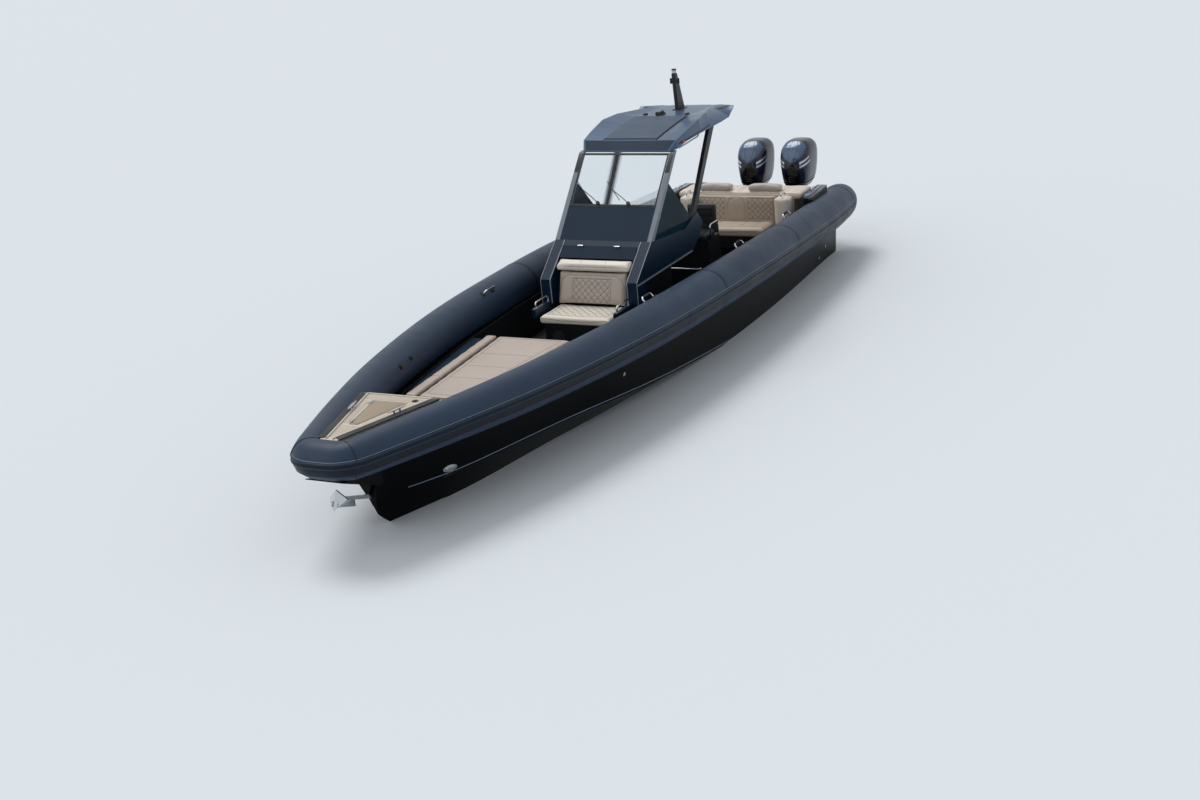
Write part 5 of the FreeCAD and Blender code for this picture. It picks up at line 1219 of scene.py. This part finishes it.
for y in (side * roof["railAt"] for side in bothSides):
    front, rear = (roofUnder(x, y)[0] for x in (-1.16, -1.80))
    drop = up * roof["railDrop"]
    addRod(rimShape, bentPath([front, front - ahead * 0.01 - drop, rear + ahead * 0.01 - drop, rear]), 0.0105, 14)
addPiece("ceilingRails", rimShape, "stainlessSteel")

# Mast: foot plates, lamp housings on stubs, beacon and its cap; then the side lights on the roof's flanks
mastX = -2.440
mastShape = bmesh.new()
for side in bothSides:
    addPatch(mastShape, [[roofTop(x, y) for y in sorted((side * 0.0262, side * 0.052))]
                         for x in (-2.670, -2.60, -2.53, -2.40)], 0.006)
    addRod(mastShape, [(mastX, side * 0.020, 3.080), (mastX, side * 0.052, 3.080)], 0.009)
    addRod(mastShape, [(mastX, side * 0.052, 3.045), (mastX, side * 0.052, 3.115)], 0.016, 16)
addDisc(mastShape, (mastX, 0, 3.2215), up, 0.031, 0.016, 32)
addPiece("mastFittings", mastShape, "blackPlastic")
beaconShape = bmesh.new()
addDisc(beaconShape, (mastX, 0, 3.186), up, 0.0302, 0.034, 32)
addPiece("mastBeacon", beaconShape, "lampGlass")
for name, side, sunk, finish in (("portLight", 1, -0.012, "redLens"), ("starboardLight", -1, -0.016, "greenLens")):
    lensShape = bmesh.new()
    low = layOn(roofSkin, (-1.10, side * 2.0, 2.545), -side * toPort)[0] + Vector((-0.035, sunk, -0.014))
    addBox(lensShape, low, low + Vector((0.070, 0.028, 0.028)), 0.006, 3)
    addPiece(name, lensShape, finish)
print("roof")

# Stern: cleats and small rails on the quarters, towing eyes and drains on the transom, insets under the cleats,
# locker doors with their latches, grilles in the bench's front, bolts of the engine brackets
cleat = {"place": (-4.620, 1.045, 1.1196), "heading": 0.075, "length": 0.20, "legAt": 0.035, "legRadius": 0.010,
         "spine": ((-1.0, 0.034, 0.004), (-0.75, 0.040, 0.009), (-0.3, 0.040, 0.0125), (0.3, 0.040, 0.0125),
                   (0.75, 0.040, 0.009), (1.0, 0.034, 0.004))}
stern = {"railAt": 0.735, "railPath": ((-4.290, 1.126), (-4.290, 1.176), (-4.140, 1.176), (-4.140, 1.126)),
         "eye": (-5.4505, 0.80, 0.30), "eyePath": ((0.01, -0.030), (-0.055, -0.030), (-0.055, 0.030), (0.01, 0.030)),
         "drains": (0.10, 0.45), "bars": 7, "barPitch": 0.021,
         "inset": ((-4.935, 1.010), (-4.925, 1.075), (-4.230, 1.115), (-4.190, 1.090), (-4.320, 1.020)),
         "bolts": ((-5.485, 0.225), (-5.500, 0.420), (-5.485, 0.600))}
sternShape = bmesh.new()
foot = Vector(cleat["place"])
along = turned(math.degrees(cleat["heading"]), ahead, toPort)
for leg in (foot + along * (end * cleat["legAt"]) for end in bothSides):
    addRod(sternShape, [leg, leg + up * 0.034], cleat["legRadius"], 14)
joinRings(sternShape, [circle(foot + along * (share * cleat["length"] / 2) + up * height, up.cross(along), up,
                              radius, 12) for share, height, radius in cleat["spine"]])
addRod(sternShape, bentPath([(x, stern["railAt"], z) for x, z in stern["railPath"]]), 0.0085)
eye = Vector(stern["eye"])
addRod(sternShape, bentPath([eye + Vector((x, y, 0)) for x, y in stern["eyePath"]], 0.028), 0.0075)
for z in stern["drains"]:
    addDisc(sternShape, (-5.4495, 0.62, z), -ahead, 0.026, 0.008)
mirrorCopy(sternShape)
addPiece("sternFittings", sternShape, "stainlessSteel")
insetShape = bmesh.new()
addLevelPlate(insetShape, stern["inset"], 1.1196, 0.010, 0.004)
mirrorCopy(insetShape)
addPiece("quarterInsets", insetShape, "cowlSteelBlue")
lockerShape = bmesh.new()
addBox(lockerShape, (-4.8920, 0.02, 0.52), (-4.8800, 0.52, 0.94), 0.004)
mirrorCopy(lockerShape)
addPiece("sternDoors", lockerShape, "whiteGelcoat")
grilleShape = bmesh.new()
for z in (0.430 + stern["barPitch"] * k for k in range(stern["bars"])):
    addBox(grilleShape, (-3.7405, 0.18, z), (-3.7340, 0.52, z + 0.010), 0.002)
addDisc(grilleShape, (-4.8915, 0.11, 0.74), -ahead, 0.024, 0.007)
mirrorCopy(grilleShape)
addPiece("sternGrilles", grilleShape, "blackPlastic")
plateShape = bmesh.new()
for side in bothSides:
    for x, z in stern["bolts"]:
        addBolt(plateShape, (x, 0.35 + side * 0.1135, z), side * toPort, 0.013, 0.009)
    addDisc(plateShape, (-5.575, 0.35 + side * 0.1195, 0.640), side * toPort, 0.030, 0.010, 6)
mirrorCopy(plateShape)
addPiece("bracketBolts", plateShape, "stainlessSteel")
print("stern")

# Engines: the cowl's rounded shell, its shield with creases, side stripes, front housing with bars, rings and
# rear vents, inlets and anodes on the leg, the propeller's nut; cowl levels give height, front, rear, half width
cowlLevels = (
    (0.906, 0.050, -0.440, 0.160), (0.960, 0.068, -0.505, 0.185), (1.050, 0.084, -0.570, 0.208),
    (1.200, 0.090, -0.598, 0.226), (1.320, 0.078, -0.600, 0.234), (1.400, 0.050, -0.597, 0.234),
    (1.470, 0.006, -0.578, 0.225), (1.520, -0.050, -0.545, 0.203), (1.560, -0.112, -0.500, 0.168),
    (1.580, -0.160, -0.450, 0.130), (1.589, -0.215, -0.390, 0.082),
)
cowl = {"sides": 56, "frontPower": 0.52, "rearPower": 0.62, "sidePower": 0.62, "apart": 0.700,
        "shieldRows": ((1.290, 0.026), (1.320, 0.070), (1.355, 0.122), (1.390, 0.160), (1.425, 0.184), (1.460, 0.194),
                       (1.490, 0.190), (1.515, 0.176), (1.540, 0.152), (1.562, 0.122), (1.578, 0.088)),
        "shieldShares": (-1, -0.8, -0.6, -0.36, 0, 0.36, 0.6, 0.8, 1),
        "shieldRises": (0.001, 0.007, 0.007, 0.007, 0.011, 0.007, 0.007, 0.007, 0.001),
        "housingRows": ((0.935, 0.112), (1.00, 0.120), (1.08, 0.122), (1.16, 0.116), (1.22, 0.100), (1.265, 0.074),
                        (1.290, 0.040)),
        "housingShares": (-1, -0.7, -0.35, 0, 0.35, 0.7, 1),
        "housingRises": (0.001, 0.011, 0.014, 0.015, 0.014, 0.011, 0.001), "bars": (1.005, 1.040, 1.075),
        "rings": ((0.975, 0.008, 0.004), (1.022, 0.0035, 0.0015)), "vents": 4, "ventPitch": 0.034,
        "nut": ((0.0, 0.0300), (0.014, 0.0290), (0.022, 0.0200), (0.0250, 0.0080))}
engineAxis = Vector((-5.720, 0.350, 0))
cowlShapeRings = []
for z, front, rear, half in curveThrough(cowlLevels, 4):
    ring = []
    middle = (front + rear) / 2
    for angle in (2 * math.pi * step / cowl["sides"] for step in range(cowl["sides"])):
        c, s = math.cos(angle), math.sin(angle)
        power = cowl["frontPower"] if c > 0 else cowl["rearPower"]
        x = middle + (front - middle) * math.copysign(abs(c) ** power, c)
        ring.append(engineAxis + Vector((x, half * math.copysign(abs(s) ** cowl["sidePower"], s), z)))
    cowlShapeRings.append(ring)
cowlShell = bmesh.new()
joinRings(cowlShell, cowlShapeRings)
bmesh.ops.recalc_face_normals(cowlShell, faces=cowlShell.faces)
cowlSkin = BVHTree.FromBMesh(cowlShell)


def cowlFront(y, z):
    return layOn(cowlSkin, engineAxis + Vector((0.9, y, z)), -ahead)


def cowlRound(angle, x, z):
    way = turned(math.degrees(angle), ahead, toPort)
    return layOn(cowlSkin, engineAxis + Vector((x, 0, z)) + way * 0.9, -way)


shieldShape = bmesh.new()
shieldRows = [[cowlFront(half * share, z) for share in cowl["shieldShares"]] for z, half in cowl["shieldRows"]]
addPatch(shieldShape, shieldRows, cowl["shieldRises"], 0.002)
creaseShape = bmesh.new()
for column in (3, 5):
    addRod(creaseShape, [raised(row[column], 0.0075) for row in shieldRows], 0.0024, 6)
addRod(creaseShape, [raised(cowlFront(0.118 * share, 1.522), 0.009) for share in (-1, -0.5, 0, 0.5, 1)], 0.0020, 6)
stripeShape = bmesh.new()
ventShape = bmesh.new()
legShape = bmesh.new()
for side in bothSides:
    for lift, reach in ((0.0, 1.0), (0.058, 0.86)):
        rows = []
        for share in (step / 8 for step in range(9)):
            angle = math.radians(side * (24 + 44 * share * reach))
            z = 1.225 + lift + 0.085 * share
            half = 0.019 * (1 - 0.55 * share)
            rows.append([cowlRound(angle, -0.20, z + shift) for shift in (-half, 0, half)])
        addPatch(stripeShape, rows, 0.0025)
    for z in (1.34 + cowl["ventPitch"] * k for k in range(cowl["vents"])):
        addPatch(ventShape, [[layOn(cowlSkin, engineAxis + Vector((-1.2, side * y, level)), ahead)
                              for y in (0.050, 0.085, 0.120)] for level in (z, z + 0.016)], 0.003)
    for x in (-0.145 - 0.045 * k for k in range(4)):
        addBox(legShape, engineAxis + Vector((x, side * 0.0560 - 0.004, -0.800)),
               engineAxis + Vector((x + 0.025, side * 0.0560 + 0.004, -0.765)), 0.002)
    addBox(legShape, engineAxis + Vector((-0.30, side * 0.060 - 0.012, -0.5455)),
           engineAxis + Vector((-0.20, side * 0.060 + 0.012, -0.530)), 0.003)
for level, half, rise in cowl["rings"]:
    rings = []
    for angle in (2 * math.pi * step / 64 for step in range(64)):
        below, above = (cowlRound(angle, -0.24, level + end * half) for end in bothSides)
        rings.append([raised(below, -0.002), raised(below, rise), raised(above, rise), raised(above, -0.002)])
    joinRings(ventShape, rings, closedRun=True)
housingShape = bmesh.new()
addPatch(housingShape, [[cowlFront(half * share, z) for share in cowl["housingShares"]]
                        for z, half in cowl["housingRows"]], cowl["housingRises"], 0.002)
for place in (cowlFront(0, z)[0] for z in cowl["bars"]):
    addBox(housingShape, place + Vector((0.008, -0.062, -0.006)), place + Vector((0.0195, 0.062, 0.006)), 0.003)
enginePieces = (
    ("cowlShell", cowlShell, "cowlLacquer", None), ("cowlShield", shieldShape, "cowlSteelBlue", None),
    ("cowlStripes", stripeShape, "cowlSilver", None), ("cowlHousing", housingShape, "blackGloss", None),
    ("cowlCreases", creaseShape, "cowlLacquer", None), ("cowlRings", ventShape, "blackRubber", None),
    ("legFittings", legShape, "anodisedAluminium", "stainless"),
)
for name, shape, finish, slotName in enginePieces:
    twin = shape.copy()
    bmesh.ops.translate(twin, vec=-cowl["apart"] * toPort, verts=twin.verts)
    for side, form in (("port", shape), ("starboard", twin)):
        made = addPiece(f"{name}_{side}", form, finish, f"engine_{side}", 40)
        if name == "cowlShell":
            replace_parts(made, f"cowl_{side}")
for side, y in (("port", 0.35), ("starboard", -0.35)):
    nutShape = bmesh.new()
    joinRings(nutShape, [circle(Vector((-6.2950 - back, y, -0.780)), toPort, up, radius, 24)
                         for back, radius in cowl["nut"]])
    addPiece(f"propNut_{side}", nutShape, "stainlessSteel", body=f"propeller_{side}")
print("engines")


# Studio: floor at the waterline, world, lamps and camera

floorShape = bmesh.new()
bmesh.ops.create_grid(floorShape, x_segments=1, y_segments=1, size=studio["floorSize"])
floorMesh = bpy.data.meshes.new("studioFloor")
floorShape.to_mesh(floorMesh)
floorShape.free()
floor = bpy.data.objects.new("studioFloor", floorMesh)
scene.collection.objects.link(floor)
floorMaterial = bpy.data.materials.new("floorPaint")
floorMaterial.use_nodes = True
floorShader = floorMaterial.node_tree.nodes["Principled BSDF"]
floorShader.inputs["Base Color"].default_value = toLinear(studio["floor"])
floorShader.inputs["Roughness"].default_value = studio["floorRough"]
floorShader.inputs["Specular IOR Level"].default_value = studio["floorShine"]
floorMesh.materials.append(floorMaterial)

# The camera, glossy and clear surfaces see the backdrop; the fill only lights
world = bpy.data.worlds.new("studio")
scene.world = world
world.use_nodes = True
tree = world.node_tree
paths = addNode(tree, "ShaderNodeLightPath")
seen = paths.outputs["Is Camera Ray"]
for name in ("Is Glossy Ray", "Is Transmission Ray"):
    seen = mathOf(tree, "MAXIMUM", seen, paths.outputs[name])
fill = tree.nodes["Background"]
fill.inputs["Color"].default_value = toLinear(studio["fillColour"])
fill.inputs["Strength"].default_value = studio["fill"]
backdrop = addNode(tree, "ShaderNodeBackground", None, {"Strength": 1.0, "Color": toLinear(studio["backdrop"])})
mixer = addNode(tree, "ShaderNodeMixShader", None, {0: seen, 1: fill.outputs[0], 2: backdrop.outputs[0]})
tree.links.new(mixer.outputs[0], tree.nodes["World Output"].inputs[0])

for name, values in studio["lamps"].items():
    lamp = bpy.data.lights.new(name, "SUN")
    lamp.energy = values["power"]
    lamp.angle = math.radians(values["spread"])
    holder = bpy.data.objects.new(name, lamp)
    scene.collection.objects.link(holder)
    holder.rotation_mode = "QUATERNION"
    holder.rotation_quaternion = Vector(values["way"]).to_track_quat("-Z", "Y")

heading, pitch, roll = (math.radians(cameraView[key]) for key in ("heading", "pitch", "roll"))
look = Vector((math.cos(pitch) * math.cos(heading), math.cos(pitch) * math.sin(heading), -math.sin(pitch)))
level = look.cross(up).normalized()
lifted = level.cross(look)
right = level * math.cos(roll) + lifted * math.sin(roll)
upright = lifted * math.cos(roll) - level * math.sin(roll)
cameraData = bpy.data.cameras.new("camera")
cameraData.sensor_width = cameraView["sensor"]
cameraData.lens = cameraView["lens"]
cameraData.clip_end = cameraView["reach"]
camera = bpy.data.objects.new("camera", cameraData)
scene.collection.objects.link(camera)
facing = Matrix((right, upright, -look)).transposed()
camera.matrix_world = Matrix.Translation(cameraView["place"]) @ facing.to_4x4()
scene.camera = camera
scene.view_settings.view_transform = "Standard"
print("studio")
